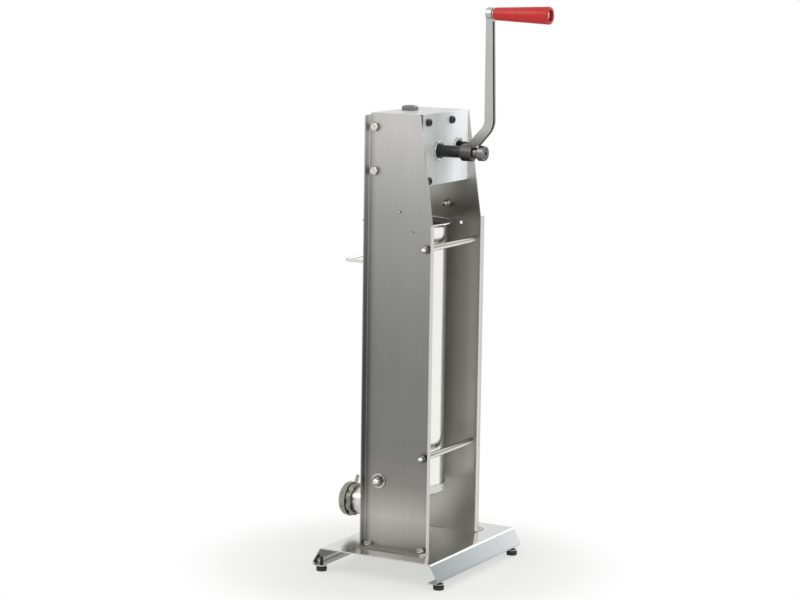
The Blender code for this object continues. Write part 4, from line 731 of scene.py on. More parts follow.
# Painted shade across the gearbox cover, darker towards +X.
COVER_PAINTED_SHADE = Drift(Axis.X, -0.07, 0.07, (
    (0.00, "FDFEFF"), (0.22, "F8FBFC"), (0.50, "CCD1D1"), (0.72, "B5BAB9"), (1.00, "C6CAC8")))
# Satin grey of the base plate's rear wing with painted shade, darker towards +X.
WING_PAINTED_SHADE = Drift(Axis.X, -0.15, 0.15, ((0.00, "DCE0E2"), (0.50, "BFC4C7"), (1.00, "A2A9AB")))
# Painted shade on the crank arm: darker towards its foot, lighter towards the top.
ARM_PAINTED_SHADE = Drift(Axis.Z, 0.742, 0.775, ((0.0, "5A5857"), (1.0, "BCBCBA")))
CUP_DRIFT = Drift(Axis.Y, -0.180, -0.140, (
    (0.0, "8A8881"), (0.4, "8A8881"), (0.6, "DADBD8"), (1.0, "DADBD8")))
# Painted reflection on the cross rods: white below from the floor, grey above.
ROD_PAINTED_REFLECTION = ((0.0, "F2F1EC"), (0.45, "EDECE6"), (0.62, "A3A19A"), (1.0, "8C8A84"))

# The rear flange's lighter colour is a painted highlight.
SHEET = BrushedSheet("brushed_sheet", PANEL_PAINTED_REFLECTION, 0.30, outer_face=0.088, rear_face=0.02885,
                     inner_tint=INNER_PAINTED_REFLECTION, flange_colour=shade("D2D0CC"))
PLATE = BasePlate("polished_plate", shade("CFCFCC"), 0.13, Axis.X, wing_tint=WING_PAINTED_SHADE,
                  wing_start=0.0679)
ROD = PolishedSteel("drawn_rod", shade("D6D5D0"), 0.14, Axis.X)
FASTENER = PolishedSteel("bright_fastener", shade("B9B8B3"), 0.18)
CHROME = PolishedSteel("chrome_plate", shade("94938B"), 0.10, Axis.Y, smear=0.10)
# The root colours of these nuts and screws are painted shade on their hexagons.
NUT = Capped("dome_nut", shade("D9D8D3"), 0.14, Axis.X, 0.0965, shade("6B6965"))
PIVOT_NUT = Capped("pivot_nut", shade("D9D8D3"), 0.14, Axis.X, 0.0977, shade("6B6965"))
SCREW = Capped("flange_screw", shade("D4D3CE"), 0.18, Axis.X, 0.0945, shade("83817C"))
STUB = Capped("shaft_stub", shade("1E1E1D"), 0.40, Axis.Y, 0.001, shade("8C8A85"))
CAST = CastMetal("alloy_casting", shade("DADBD8"), 0.30)
CUP = CastMetal("cast_cup", CUP_DRIFT, 0.30)
IRON = CastMetal("iron_casting", shade("7E7D7B"), 0.36, 0.0009, 0.00006)
ARM = CastMetal("crank_iron", ARM_PAINTED_SHADE, 0.34, 0.0009, 0.00006)
GEAR_STEEL = CastMetal("gear_steel", shade("8C8A85"), 0.30, 0.0006, 0.00003)
COAT = PowderCoat("grey_powder_coat", shade("BFC1C0"), 0.34)
# The cover's dark strip by the panel's slope is a painted shadow.
COVER = ShadedCover("cover_powder_coat", COVER_PAINTED_SHADE, 0.30, edge=0.0857, gap_low=0.69,
                    gap_high=0.80, gap_width=0.0085, gap_colour=shade("4A4C4A"))
BLACK = Moulded("black_moulding", shade("191918"), 0.36)
RUBBER = Moulded("foot_rubber", shade("252423"), 0.62, relief=0.00005)
SILICONE = Moulded("seal_silicone", shade("E9E8E2"), 0.48)
RED = Moulded("red_grip_plastic", shade("B4120A"), 0.40, relief=0.00001, scuff=0.05)
FLOOR = StudioFloor("studio_floor", (0.90, 0.90, 0.895), 0.9)


def linked(name: str, data: bpy.types.ID) -> Thing:
    """Make an object of its data and link it to the scene.

    Args:
        name: the object's name.
        data: its mesh, light or camera.

    Returns:
        The object, at the origin.
    """
    made = bpy.data.objects.new(name, data)
    bpy.context.scene.collection.objects.link(made)
    return made


def baked(made: Thing) -> Thing:
    """Turn an object's modifiers into plain mesh and take them off.

    Args:
        made: the object.

    Returns:
        The same object.
    """
    bpy.context.view_layer.update()
    evaluated = made.evaluated_get(bpy.context.evaluated_depsgraph_get())
    mesh = bpy.data.meshes.new_from_object(evaluated)
    made.modifiers.clear()
    made.data = mesh
    return made


def settled(made: Thing, crease: Crease, *steps: Matrix) -> Thing:
    """Move an object's mesh, join its doubles, turn its faces out and smooth it.

    Args:
        made: the object, which stays at the origin.
        crease: the edges that stay sharp.
        steps: matrices, the first one first.

    Returns:
        The same object.
    """
    body = bmesh.new()
    body.from_mesh(made.data)
    for step in steps:
        body.transform(step)
    bmesh.ops.remove_doubles(body, verts=body.verts, dist=MERGE)
    bmesh.ops.recalc_face_normals(body, faces=body.faces)
    if body.calc_volume(signed=True) < 0.0:
        bmesh.ops.reverse_faces(body, faces=body.faces)
    body.to_mesh(made.data)
    body.free()
    made.data.shade_smooth()
    made.data.set_sharp_from_angle(angle=math.radians(crease.value))
    return made


def solid(name: str, body: Shape, finish: Finish, crease: Crease = Crease.SHEET) -> Thing:
    """Turn a bmesh into a finished object at the origin.

    Args:
        name: the piece's name.
        body: the geometry, freed here.
        finish: its material.
        crease: the edges that stay sharp.

    Returns:
        The object.
    """
    mesh = bpy.data.meshes.new(name)
    body.to_mesh(mesh)
    body.free()
    mesh.materials.append(finish.material())
    return settled(linked(name, mesh), crease)


def refined(name: str, node: str, finish: Finish, edge: float, crease: Crease,
            reshape: Reshape | None = None) -> Thing:
    """Copy a CAD node, merge its loose triangles and break its sharp edges.

    Args:
        name: the piece's name.
        node: the CAD node that it follows.
        finish: its material.
        edge: width of the broken edges in metres, or 0.
        crease: the edges that are broken.
        reshape: moves each corner of the copy in place.

    Returns:
        The new piece.
    """
    body = bmesh.new()
    body.from_mesh(frame["nodes"][node].data)
    bmesh.ops.remove_doubles(body, verts=body.verts, dist=CAD_MERGE)
    bmesh.ops.dissolve_limit(body, angle_limit=math.radians(FLAT), verts=body.verts,
                             edges=body.edges)
    if reshape:
        for corner in body.verts:
            reshape(corner.co)
    made = solid(name, body, finish, crease)
    if edge:
        bevel = made.modifiers.new("broken_edges", "BEVEL")
        bevel.width = edge
        bevel.segments = BEVEL_STEPS
        bevel.limit_method = "ANGLE"
        bevel.angle_limit = math.radians(crease.value)
        bevel.harden_normals = True
        made = baked(made)
    return made


class Recipe(Tree):
    """Geometry Nodes tree with named inputs that ends as plain dressed mesh."""

    def __init__(self, name: str, **inputs: str) -> None:
        """Start a tree with a geometry input, a material and further inputs.

        Args:
            name: the tree's name.
            inputs: socket types of its further inputs, by name.
        """
        self.group = bpy.data.node_groups.new(name, "GeometryNodeTree")
        super().__init__(self.group)
        face = self.group.interface
        for way in ("INPUT", "OUTPUT"):
            face.new_socket(name="Geometry", in_out=way, socket_type="NodeSocketGeometry")
        kinds = {"Material": "NodeSocketMaterial", **inputs}
        self.codes = {
            key: face.new_socket(name=key, in_out="INPUT", socket_type=kind).identifier
            for key, kind in kinds.items()
        }
        self.close(self.lay_out())

    def lay_out(self) -> Value:
        """Add the tree's own nodes and return their geometry."""
        raise NotImplementedError

    def take(self, name: str) -> Value:
        """Value of one of the tree's inputs."""
        return self.add("NodeGroupInput", output=name)

    def close(self, geometry: Value) -> None:
        """Make the geometry real, give it its material and put it out.

        Args:
            geometry: what the tree's own nodes made.
        """
        real = self.add("GeometryNodeRealizeInstances", None, {0: geometry})
        sockets = {"Geometry": real, "Material": self.take("Material")}
        dressed = self.add("GeometryNodeSetMaterial", None, sockets)
        self.add("NodeGroupOutput", None, {0: dressed})

    def run(self, name: str, start: bpy.types.Mesh, **values: object) -> Thing:
        """Run the tree over a mesh.

        Args:
            name: the piece's name.
            start: mesh that the tree starts from.
            values: the tree's inputs by name.

        Returns:
            The object with its plain mesh.
        """
        made = linked(name, start)
        modifier = made.modifiers.new(name, "NODES")
        modifier.node_group = self.group
        for key, value in values.items():
            modifier[self.codes[key]] = value
        return baked(made)


class Lathe(Recipe):
    """Turns an outline round Z."""

    def lay_out(self) -> Value:
        """Sweep the outline round a circle.

        Returns:
            The turned geometry.
        """
        circle = self.add("GeometryNodeCurvePrimitiveCircle", None,
                          {"Resolution": self.take("Steps"), "Radius": LATHE_CORE})
        outline = self.add("GeometryNodeMeshToCurve", None, {0: self.take("Geometry")})
        sockets = {"Curve": circle, "Profile Curve": outline}
        return self.add("GeometryNodeCurveToMesh", None, sockets)

    def turn(self, name: str, outline: Outline, finish: Finish, sides: int, *steps: Matrix,
             crease: Crease = Crease.SHEET) -> Thing:
        """Make a solid of revolution.

        Args:
            name: the piece's name.
            outline: closed outline of radius and height.
            finish: its material.
            sides: steps of the turn.
            steps: matrices that put it in its place.
            crease: the edges that stay sharp.

        Returns:
            The piece.
        """
        corners = [(radius - LATHE_CORE, -height, 0.0) for radius, height in outline]
        edges = [(i, (i + 1) % len(corners)) for i in range(len(corners))]
        start = bpy.data.meshes.new(name)
        start.from_pydata(corners, edges, [])
        made = self.run(name, start, Steps=sides, Material=finish.material())
        return settled(made, crease, *steps)


class Scatter(Recipe):
    """Sets one shape on points, turned to each point's direction and spun about it."""

    def lay_out(self) -> Value:
        """Instance the shape on the points.

        Returns:
            The instances.
        """
        way = self.add("GeometryNodeInputNamedAttribute", {"data_type": "FLOAT_VECTOR"},
                       {"Name": "direction"})
        turn = self.add("FunctionNodeAlignRotationToVector", {"axis": "Z"}, {"Vector": way})
        shape = self.add("GeometryNodeObjectInfo", None, {"Object": self.take("Shape")},
                         "Geometry")
        placed = self.add("GeometryNodeInstanceOnPoints", None,
                          {"Points": self.take("Geometry"), "Instance": shape, "Rotation": turn})
        chance = self.add("FunctionNodeRandomValue", {"data_type": "FLOAT"},
                          {2: 0.0, 3: self.take("Spin"), "Seed": self.take("Seed")}, 1)
        spin = self.add("ShaderNodeCombineXYZ", None, {"Z": chance})
        return self.add("GeometryNodeRotateInstances", None,
                        {"Instances": placed, "Rotation": spin, "Local Space": True})

    def spread(self, name: str, shape: Shape, finish: Finish, seats: Seats) -> Thing:
        """Set a shape that stands on +Z on each seat.

        Args:
            name: the piece's name.
            shape: the shape's geometry, freed here.
            finish: its material.
            seats: places and directions.

        Returns:
            The piece.
        """
        pattern = solid(f"{name}_pattern", shape, finish)
        start = bpy.data.meshes.new(name)
        start.from_pydata([tuple(place) for place, _ in seats], [], [])
        ways = start.attributes.new("direction", "FLOAT_VECTOR", "POINT")
        for item, (_, way) in zip(ways.data, seats):
            item.vector = way
        made = self.run(name, start, Shape=pattern, Spin=math.tau, Seed=SPIN_SEED,
                        Material=finish.material())
        bpy.data.objects.remove(pattern, do_unlink=True)
        return settled(made, Crease.SHEET)


LATHE = Lathe("lathe", Steps="NodeSocketInt")
SCATTER = Scatter("scatter", Shape="NodeSocketObject", Spin="NodeSocketFloat",
                  Seed="NodeSocketInt")


@dataclass(frozen=True)
class Level:
    """One ring of a stacked shape, round or hexagonal, its reach measured to the flats."""

    reach: float
    height: float
    hexagonal: bool = False

    def corner(self, turn: float) -> Point:
        """Corner of the ring at an angle.

        Args:
            turn: the angle in radians.

        Returns:
            The corner.
        """
        sixth = math.pi / 3
        wide = self.reach
        if self.hexagonal:
            wide /= math.cos(turn % sixth - sixth / 2)
        return (wide * math.cos(turn), wide * math.sin(turn), self.height)


def stacked(levels: Sequence[Level], sides: int = 24) -> Shape:
    """Closed solid through a stack of rings.

    Args:
        levels: rings from the underside to the top; both ends are closed.
        sides: corners of each ring, a multiple of six.

    Returns:
        The geometry.
    """
    body = bmesh.new()
    turns = [math.tau * k / sides for k in range(sides)]
    rings = [[body.verts.new(level.corner(turn)) for turn in turns] for level in levels]
    for ring, after in zip(rings, rings[1:]):
        for i in range(sides):
            j = (i + 1) % sides
            body.faces.new((ring[i], ring[j], after[j], after[i]))
    body.faces.new(rings[0])
    body.faces.new(rings[-1])
    return body


@dataclass(frozen=True)
class DomeNut:
    """Hexagon nut with a dome, standing on +Z."""

    flats: float
    hexagon: float
    dome: float
    chamfer: float = 0.0007
    ledge: float = 0.0001
    face_share: float = 0.93
    dome_share: float = 0.84
    tip_share: float = 0.1
    steps: int = 6

    def shape(self) -> Shape:
        """Stack the hexagon and the dome.

        Returns:
            The geometry.
        """
        half, top = self.flats / 2, self.hexagon
        face, dome = half * self.face_share, half * self.dome_share
        levels = [Level(face, 0.0), Level(half, self.chamfer, True),
                  Level(half, top - self.chamfer, True), Level(face, top),
                  Level(dome, top + self.ledge)]
        for step in range(1, self.steps):
            turn = math.pi / 2 * step / self.steps
            levels.append(Level(dome * math.cos(turn), top + self.dome * math.sin(turn)))
        levels.append(Level(half * self.tip_share, top + self.dome))
        return stacked(levels)


@dataclass(frozen=True)
class HexagonScrew:
    """Head of a hexagon screw on its round flange, standing on +Z."""

    flats: float
    head: float
    flange: float
    flange_height: float
    chamfer: float = 0.0007
    round: float = 0.0004
    top: tuple[tuple[float, float], ...] = ((0.93, 0.0), (0.45, 0.0002), (0.40, 0.0006))

    def shape(self) -> Shape:
        """Stack the flange and the hexagon, whose top is cupped.

        Returns:
            The geometry.
        """
        half, soft = self.flats / 2, self.round
        levels = [Level(self.flange - soft / 2, 0.0), Level(self.flange, soft),
                  Level(self.flange - soft, self.flange_height),
                  Level(half, self.flange_height + soft / 2, True),
                  Level(half, self.head - self.chamfer, True)]
        levels += [Level(half * share, self.head - depth) for share, depth in self.top]
        return stacked(levels)


@dataclass(frozen=True)
class SocketScrew:
    """Head of a socket screw, standing on +Z."""

    radius: float
    head: float
    key: float
    chamfer: float = 0.0007
    round: float = 0.0008
    depth_share: float = 0.45

    def shape(self) -> Shape:
        """Stack the head and its socket.

        Returns:
            The geometry.
        """
        half, soft = self.key / 2, self.round / 2
        return stacked([
            Level(self.radius, 0.0), Level(self.radius, self.head - self.round),
            Level(self.radius - self.chamfer, self.head), Level(half + soft, self.head),
            Level(half, self.head - soft, True), Level(half, self.head * self.depth_share, True)])


def middle(node: str) -> Vector:
    """Centre of a CAD node's box."""
    low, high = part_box(node)
    return (low + high) / 2


def seats_of(axis: Axis, level: float, *nodes: str) -> Seats:
    """Seats of fasteners on planes across an axis; on X both sides count.

    Args:
        axis: direction of the fasteners.
        level: where the plane cuts the axis.
        nodes: the CAD fasteners.

    Returns:
        Places and directions.
    """
    seats = []
    for node in nodes:
        centre = middle(node)
        side = -1.0 if axis is Axis.X and centre.x < 0.0 else 1.0
        way = Vector(axis.value) * side
        seats.append((centre - way * centre.dot(way) + way * level, way))
    return seats


def arc(centre: tuple[float, float], radius: float, start: float, end: float,
        steps: int) -> list[tuple[float, float]]:
    """Points of an arc, with its angles in degrees."""
    turns = [math.radians(start + (end - start) * k / steps) for k in range(steps + 1)]
    return [(centre[0] + radius * math.cos(a), centre[1] + radius * math.sin(a)) for a in turns]


def both(pattern: str, *words: str) -> list[str]:
    """Node names of a pattern with a word and a side in each."""
    return [pattern.format(word, side) for word in words for side in SIDES]


class Assembly:
    """Shared ways of a sub-assembly to report and mount its pieces."""

    body: str = "frame"

    def dress(self, finish: Finish, *nodes: str) -> None:
        """Give CAD nodes a material.

        Args:
            finish: the material.
            nodes: the CAD nodes, which stay as they are.
        """
        for node in nodes:
            data = frame["nodes"][node].data
            data.materials.clear()
            data.materials.append(finish.material())
        LOG.info("%s: dressed %s", type(self).__name__, ", ".join(nodes))

    def mount(self, piece: Thing, slot: str, *nodes: str, body: str | None = None) -> None:
        """Hang a piece on its body.

        Args:
            piece: the finished piece.
            slot: its material slot; not used.
            nodes: the CAD nodes that it stands for.
            body: the body it rides on, if not the assembly's own.
        """
        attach(piece, body or self.body)
        if nodes:
            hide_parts(*nodes)
        LOG.info("%s: %s, %d faces", type(self).__name__, piece.name, len(piece.data.polygons))

    def refine(self, finish: Finish, slot: str, edge: float, *nodes: str, body: str | None = None,
               crease: Crease = Crease.SHEET, reshape: Reshape | None = None) -> None:
        """Replace CAD nodes by copies with broken edges.

        Args:
            finish: their material.
            slot: their material slot.
            edge: width of the broken edges, or 0.
            nodes: the CAD nodes.
            body: the body they ride on, if not the assembly's own.
            crease: the edges that are broken.
            reshape: moves each corner of a copy in place.
        """
        for node in nodes:
            piece = refined(f"{node}_finished", node, finish, edge, crease, reshape)
            self.mount(piece, slot, node, body=body)

    def fasten(self, name: str, head: DomeNut | HexagonScrew | SocketScrew, finish: Finish,
               slot: str, axis: Axis, level: float, nodes: Sequence[str]) -> None:
        """Set the head of a fastener in the place of each CAD fastener.

        Args:
            name: the piece's name.
            head: the fastener.
            finish: its material.
            slot: its material slot.
            axis: direction of the fasteners.
            level: where the plane that they stand on cuts the axis.
            nodes: the CAD fasteners.
        """
        seats = seats_of(axis, level, *nodes)
        self.mount(SCATTER.spread(name, head.shape(), finish, seats), slot, *nodes)


@dataclass
class Stand(Assembly):
    """Base plate with its feet."""

    edge: float = 0.0003
    foot_edge: float = 0.0006
    disc_radius: float = 0.0092
    disc_height: float = 0.0085
    disc: float = 0.0016

    def build(self) -> None:
        """Dress the base plate and the feet, and lay a steel disc on each foot."""
        self.refine(PLATE, "polished_steel", self.edge, "base_plate")
        feet = both("foot_{}_{}", "front", "rear")
        self.refine(RUBBER, "black_rubber", self.foot_edge, *feet)
        wide, top, edge = self.disc_radius, self.disc, self.edge
        disc = stacked([Level(wide - edge, 0.0), Level(wide, edge), Level(wide, top - edge),
                        Level(wide - edge, top)])
        seats = seats_of(Axis.Z, self.disc_height, *feet)
        self.mount(SCATTER.spread("foot_discs", disc, FASTENER, seats), "polished_steel")


@dataclass
class Panels(Assembly):
    """Side panels with the rods and fasteners that hold them."""

    edge: float = 0.0003
    rod_radius: float = 0.0055
    rod_roughness: float = 0.30
    nut_seat: float = 0.0883
    pivot_seat: float = 0.0906
    bolt_seat: float = 0.0481
    rod_nut: DomeNut = DomeNut(0.013, 0.0075, 0.0095)
    pivot_nut: DomeNut = DomeNut(0.016, 0.007, 0.0065)
    foot_bolt: HexagonScrew = HexagonScrew(0.013, 0.0053, 0.0075, 0.0009)

    def build(self) -> None:
        """Dress panels, rods, nuts, bolts and stops."""
        self.refine(SHEET, "brushed_steel", self.edge, "side_panel_right", "side_panel_left")
        for level in ("upper", "lower"):
            self.build_rod(level)
        self.fasten("rod_nuts", self.rod_nut, NUT, "polished_steel", Axis.X, self.nut_seat,
                    both("rod_nut_{}_{}", "upper", "lower"))
        self.fasten("pivot_nuts", self.pivot_nut, PIVOT_NUT, "polished_steel", Axis.X,
                    self.pivot_seat, both("pivot_{}_{}", "nut"))
        self.fasten("foot_bolts", self.foot_bolt, FASTENER, "polished_steel", Axis.Z,
                    self.bolt_seat, both("foot_bolt_{}_{}", "front", "rear"))
        turned = both("cylinder_{}_{}", "stop") + both("pivot_{}_{}", "washer")
        self.refine(FASTENER, "polished_steel", self.edge, *turned, crease=Crease.TURNED)
        self.dress(FASTENER, "pivot_bolt_right", "pivot_bolt_left")

    def build_rod(self, level: str) -> None:
        """Dress a cross rod with a painted reflection, grey above and white below from the floor.

        Args:
            level: upper or lower.
        """
        height = middle(f"cross_rod_{level}").z
        tint = Drift(Axis.Z, height - self.rod_radius, height + self.rod_radius, ROD_PAINTED_REFLECTION)
        bar = PolishedSteel(f"drawn_rod_{level}", tint, self.rod_roughness, Axis.X)
        self.refine(bar, "polished_steel", self.edge, f"cross_rod_{level}", crease=Crease.ROD)


@dataclass
class Cylinder(Assembly):
    """Meat cylinder with its rolled rim and pull handle."""

    wall: float = 0.001
    flare: float = 0.009
    roll: float = 0.0011
    lip: float = 0.0006
    drop: float = 0.0002
    under: tuple[int, int, int] = (180, 100, 10)
    over: tuple[int, int, int] = (92, 180, 12)
    sides: int = 160

    def bend_height(self) -> float:
        """Height of the centre of the flare's inner bend."""
        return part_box("cylinder")[1].z - (self.flare + self.wall) - self.drop

    def outline(self) -> Outline:
        """Lay out the shell's wall, the flare's underside, its lip and its inner side.

        Returns:
            Closed outline in radius and height.
        """
        low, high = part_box("cylinder")
        outer = high.x - self.flare
        points = [(outer - self.wall, low.z), (outer, low.z)]
        centre = (high.x, high.z - self.flare - self.roll)
        points += arc(centre, self.flare, *self.under)[:-1]
        points += [(high.x - self.lip, high.z - self.roll * 1.5), (high.x, high.z - self.roll),
                   (high.x - self.lip, high.z)]
        return points + arc((high.x, self.bend_height()), self.flare + self.wall, *self.over)

    def build(self) -> None:
        """Make the smooth shell and dress what belongs to it."""
        centre = middle("cylinder")
        centre.z = 0.0
        bright = Tube("bright_tube", shade("F4F4F1"), 0.16, tuple(centre), self.bend_height())
        shell = LATHE.turn("cylinder_shell", self.outline(), bright, self.sides,
                           Matrix.Translation(centre), crease=Crease.TUBE)
        self.mount(shell, "polished_steel", "cylinder")
        self.refine(ROD, "polished_steel", 0.0, "cylinder_handle", crease=Crease.ROD)
        self.dress(SILICONE, "cylinder_gasket")


@dataclass
class Carrier(Assembly):
    """Cast cup under the cylinder with the outlet, whose neck is drawn in as in the photo."""

    edge: float = 0.0006
    neck_start: float = -0.16515
    neck_share: float = 0.617

    def draw_in(self, corner: Vector) -> None:
        """Shorten what lies in front of the collar's rear face."""
        past = min(0.0, corner.y - self.neck_start)
        corner.y = max(corner.y, self.neck_start) + past * self.neck_share

    def build(self) -> None:
        """Dress the casting and the ring nut."""
        self.refine(CUP, "cast_alloy", self.edge, "cylinder_carrier", crease=Crease.CASTING,
                    reshape=self.draw_in)
        self.refine(CHROME, "chrome", self.edge, "ring_nut", body="outlet_nut",
                    crease=Crease.CASTING, reshape=self.draw_in)


@dataclass
class Gearbox(Assembly):
    """Gearbox housing, cover, bushes and screws."""

    edge: float = 0.0008
    cover_face: float = -0.00115
    screw_seat: float = 0.088
    cover_screw: SocketScrew = SocketScrew(0.0063, 0.0062, 0.005)
    side_screw: HexagonScrew = HexagonScrew(0.013, 0.0075, 0.008, 0.0018)
    screws: tuple[str, ...] = ("upper_right", "upper_left", "lower_right", "side_left")
    bush_radii: tuple[tuple[str, float], ...] = (("main", 0.017), ("second", 0.0155))
    bush_bore: float = 0.0105
    flange: float = 0.0033
    flange_edge: float = 0.0004
    groove_floor: float = 0.0008
    groove: tuple[float, ...] = (0.0017, 0.0019, 0.0032, 0.0034)
    sides: int = 72

    def build(self) -> None:
        """Dress the housing and what is screwed to it."""
        self.refine(COAT, "grey_paint", self.edge, "gearbox_housing")
        self.refine(COVER, "grey_paint", self.edge, "gearbox_cover")
        self.fasten("cover_screws", self.cover_screw, BLACK, "black_plastic", Axis.Y,
                    self.cover_face, [f"cover_screw_{place}" for place in self.screws])
        self.fasten("gearbox_screws", self.side_screw, SCREW, "polished_steel", Axis.X,
                    self.screw_seat, both("gearbox_screw_{}_{}", "upper", "lower"))
        for name, radius in self.bush_radii:
            self.build_bush(name, radius)

    def build_bush(self, name: str, radius: float) -> None:
        """Turn a rear flange with its groove and dress the front bush.

        Args:
            name: the shaft that the bushes carry.
            radius: the flange's radius.
        """
        centre = middle(f"{name}_bush_rear")
        rings = TurnedMetal(f"{name}_bush_metal", shade("D3D4D2"), 0.26, tuple(centre))
        top, floor = self.flange, self.groove_floor
        outer, outer_foot, inner_foot, inner = (radius - inset for inset in self.groove)
        outline = [(self.bush_bore, 0.0), (radius, 0.0), (radius, top - self.flange_edge),
                   (radius - self.flange_edge, top), (outer, top), (outer_foot, floor),
                   (inner_foot, floor), (inner, top), (self.bush_bore, top)]
        seat = Matrix.Translation((centre.x, self.cover_face, centre.z))
        piece = LATHE.turn(f"{name}_bush_flange", outline, rings, self.sides, Axis.Y.across(),
                           seat)
        self.mount(piece, "bush_metal", f"{name}_bush_rear")
        self.dress(rings, f"{name}_bush_front")


@dataclass
class Drive(Assembly):
    """Shafts, large gear, crank and grip."""

    body: str = "crank_set"
    edge: float = 0.0005
    fine_edge: float = 0.0002
    stub_edge: float = 0.0003
    grip_edge: float = 0.0008
    knob_radius: float = 0.0130
    knob_neck: float = 0.0085
    knob_neck_end: float = 0.0085
    knob_disc: tuple[tuple[float, float], ...] = ((0.001, 0.0095), (0.0, 0.0110))
    knob_face: tuple[tuple[float, float], ...] = (
        (0.0, 0.0016), (0.0014, 0.0), (0.0040, 0.0), (0.0046, 0.0012), (0.0058, 0.0012),
        (0.0064, 0.0), (0.0092, 0.0), (0.0097, 0.0026))
    knob_floor: float = 0.0026
    ring_pitch: float = 0.0021
    sides: int = 72

    def build(self) -> None:
        """Dress what turns and what it drives."""
        cast = Crease.CASTING
        self.refine(ROD, "polished_steel", self.fine_edge, "main_shaft", crease=cast)
        self.dress(GEAR_STEEL, "large_gear")
        self.refine(STUB, "cast_iron", self.stub_edge, "second_shaft", body="slow_shaft",
                    crease=cast)
        self.refine(BLACK, "black_plastic", self.edge, "crank_sleeve")
        self.refine(ARM, "cast_iron", self.edge, "crank_arm", crease=cast)
        self.build_knob()
        self.refine(FASTENER, "polished_steel", self.stub_edge, "grip_axle", crease=Crease.ROD)
        self.refine(RED, "red_plastic", self.grip_edge, "grip", body="spinning_grip", crease=cast)

    def build_knob(self) -> None:
        """Turn the knob: neck, disc and the rings on its face."""
        low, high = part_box("crank_knob")
        centre = middle("crank_knob")
        finish = TurnedMetal("knob_metal", shade("7C7A78"), 0.28, tuple(centre), self.ring_pitch)
        long, wide, neck = high.y - low.y, self.knob_radius, self.knob_neck
        outline = [(0.0, 0.0), (neck, 0.0), (neck, self.knob_neck_end)]
        outline += [(wide - inset, height) for inset, height in self.knob_disc]
        outline += [(wide - inset, long - depth) for inset, depth in self.knob_face]
        outline += [(0.0, long - self.knob_floor)]
        seat = Matrix.Translation((centre.x, low.y, centre.z))
        piece = LATHE.turn("crank_knob_turned", outline, finish, self.sides, Axis.Y.across(),
                           seat)
        self.mount(piece, "chrome", "crank_knob")


@dataclass
class Piston(Assembly):
    """Rack with the piston at its foot."""

    body: str = "piston_set"
    fine_edge: float = 0.0002
    valve_edge: float = 0.0003
    plate_edge: float = 0.0004
    cap_edge: float = 0.0006
    cap_start: float = 0.7984
    cap_share: float = 0.62

    def lower_cap(self, corner: Vector) -> None:
        """Flatten the cap above the rack's end, as the photo shows it."""
        past = max(0.0, corner.z - self.cap_start)
        corner.z = min(corner.z, self.cap_start) + past * self.cap_share

    def build(self) -> None:
        """Dress rack, plates, seal and valve."""
        self.refine(ROD, "polished_steel", self.fine_edge, "rack")
        self.refine(IRON, "cast_iron", self.cap_edge, "rack_cap", reshape=self.lower_cap)
        self.refine(CAST, "cast_alloy", self.plate_edge, "piston_upper_plate",
                    "piston_lower_plate", crease=Crease.CASTING)
        self.dress(SILICONE, "piston_seal")
        self.dress(FASTENER, "piston_bolt")
        self.refine(FASTENER, "polished_steel", self.valve_edge, "air_valve", body="vent",
                    crease=Crease.ROD)


@dataclass(frozen=True)
class Lamp:
    """Square soft light that faces the machine."""

    name: str
    place: Point
    power: float
    size: float = 1.8
    target: Point = (0.0, 0.0, 0.4)

    def build(self) -> None:
        """Make the light and turn it to its target."""
        data = bpy.data.lights.new(self.name, "AREA")
        data.size = self.size
        data.energy = self.power
        lamp = linked(self.name, data)
        lamp.location = self.place
        towards = Vector(self.target) - Vector(self.place)
        lamp.rotation_euler = towards.to_track_quat("-Z", "Y").to_euler()


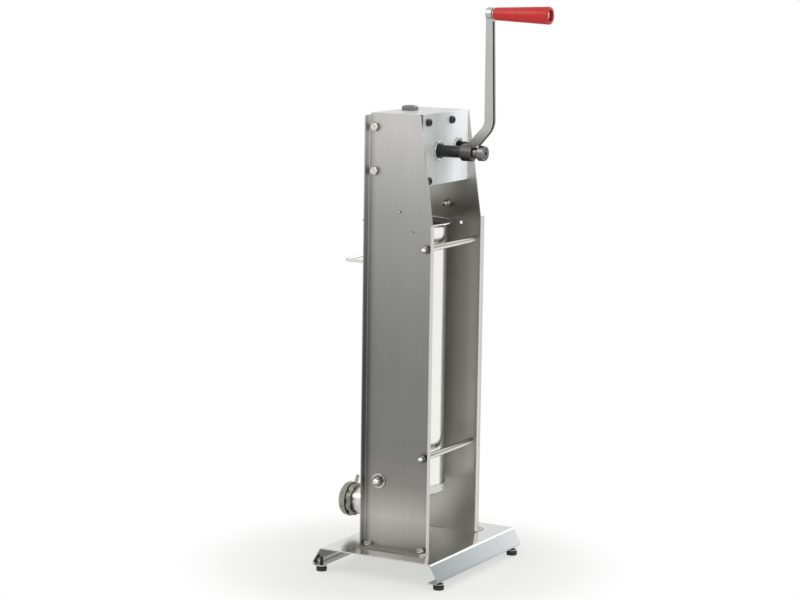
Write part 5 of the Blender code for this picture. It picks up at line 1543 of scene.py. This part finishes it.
@dataclass
class Studio:
    """Pale floor, soft lights and the camera."""

    floor_size: float = 14.0
    camera_place: Point = (3.69137, 1.98379, 1.11548)
    azimuth: float = 119.26375
    elevation: float = 8.72999
    roll: float = 0.81645
    lens: float = 110.139
    sensor: float = 36.0
    sky: float = 0.62
    lamps: tuple[Lamp, ...] = (
        Lamp("key", (2.2, -0.6, 2.6), 34.0),
        Lamp("fill", (1.2, 2.6, 1.8), 20.0),
        Lamp("rim", (-2.4, 0.6, 2.2), 22.0),
    )

    def build(self) -> None:
        """Make the world, the floor, the lights and the camera."""
        self.make_world()
        self.make_floor()
        for lamp in self.lamps:
            lamp.build()
        self.make_camera()
        bpy.context.scene.view_settings.view_transform = "Standard"

    def make_world(self) -> None:
        """White to the camera, to gloss and through glass, dimmer as a lamp."""
        world = bpy.data.worlds.new("studio")
        world.use_nodes = True
        sky = Tree(world.node_tree)
        level = sky.seen() * (1.0 - self.sky) + self.sky
        glow = sky.add("ShaderNodeBackground", None, {"Color": _rgba(WHITE), "Strength": level})
        sky.add("ShaderNodeOutputWorld", None, {"Surface": glow})
        bpy.context.scene.world = world

    def make_floor(self) -> None:
        """Lay the floor, which is stage and no part of the object."""
        body = bmesh.new()
        bmesh.ops.create_grid(body, x_segments=2, y_segments=2, size=self.floor_size / 2)
        mesh = bpy.data.meshes.new("studio_floor")
        body.to_mesh(mesh)
        body.free()
        mesh.materials.append(FLOOR.material())
        linked("studio_floor", mesh)

    def make_camera(self) -> None:
        """Set the camera at the photograph's viewing angle."""
        azimuth, elevation = math.radians(self.azimuth), math.radians(self.elevation)
        level = math.cos(elevation)
        back = Vector((math.sin(azimuth) * level, -math.cos(azimuth) * level,
                       math.sin(elevation)))
        right = Vector(Axis.Z.value).cross(back).normalized()
        basis = Matrix((right, back.cross(right), back)).transposed().to_4x4()
        data = bpy.data.cameras.new("photo_camera")
        data.lens = self.lens
        data.sensor_width = self.sensor
        camera = linked("photo_camera", data)
        roll = Matrix.Rotation(math.radians(self.roll), 4, "Z")
        camera.matrix_world = Matrix.Translation(self.camera_place) @ basis @ roll
        bpy.context.scene.camera = camera


def main() -> None:
    """Build every sub-assembly, then the studio."""
    logging.basicConfig(level=logging.INFO, format="%(message)s")
    assemblies = (Stand(), Panels(), Cylinder(), Carrier(), Gearbox(), Drive(), Piston())
    for part in (*assemblies, Studio()):
        part.build()


if __name__ == "__main__":
    main()
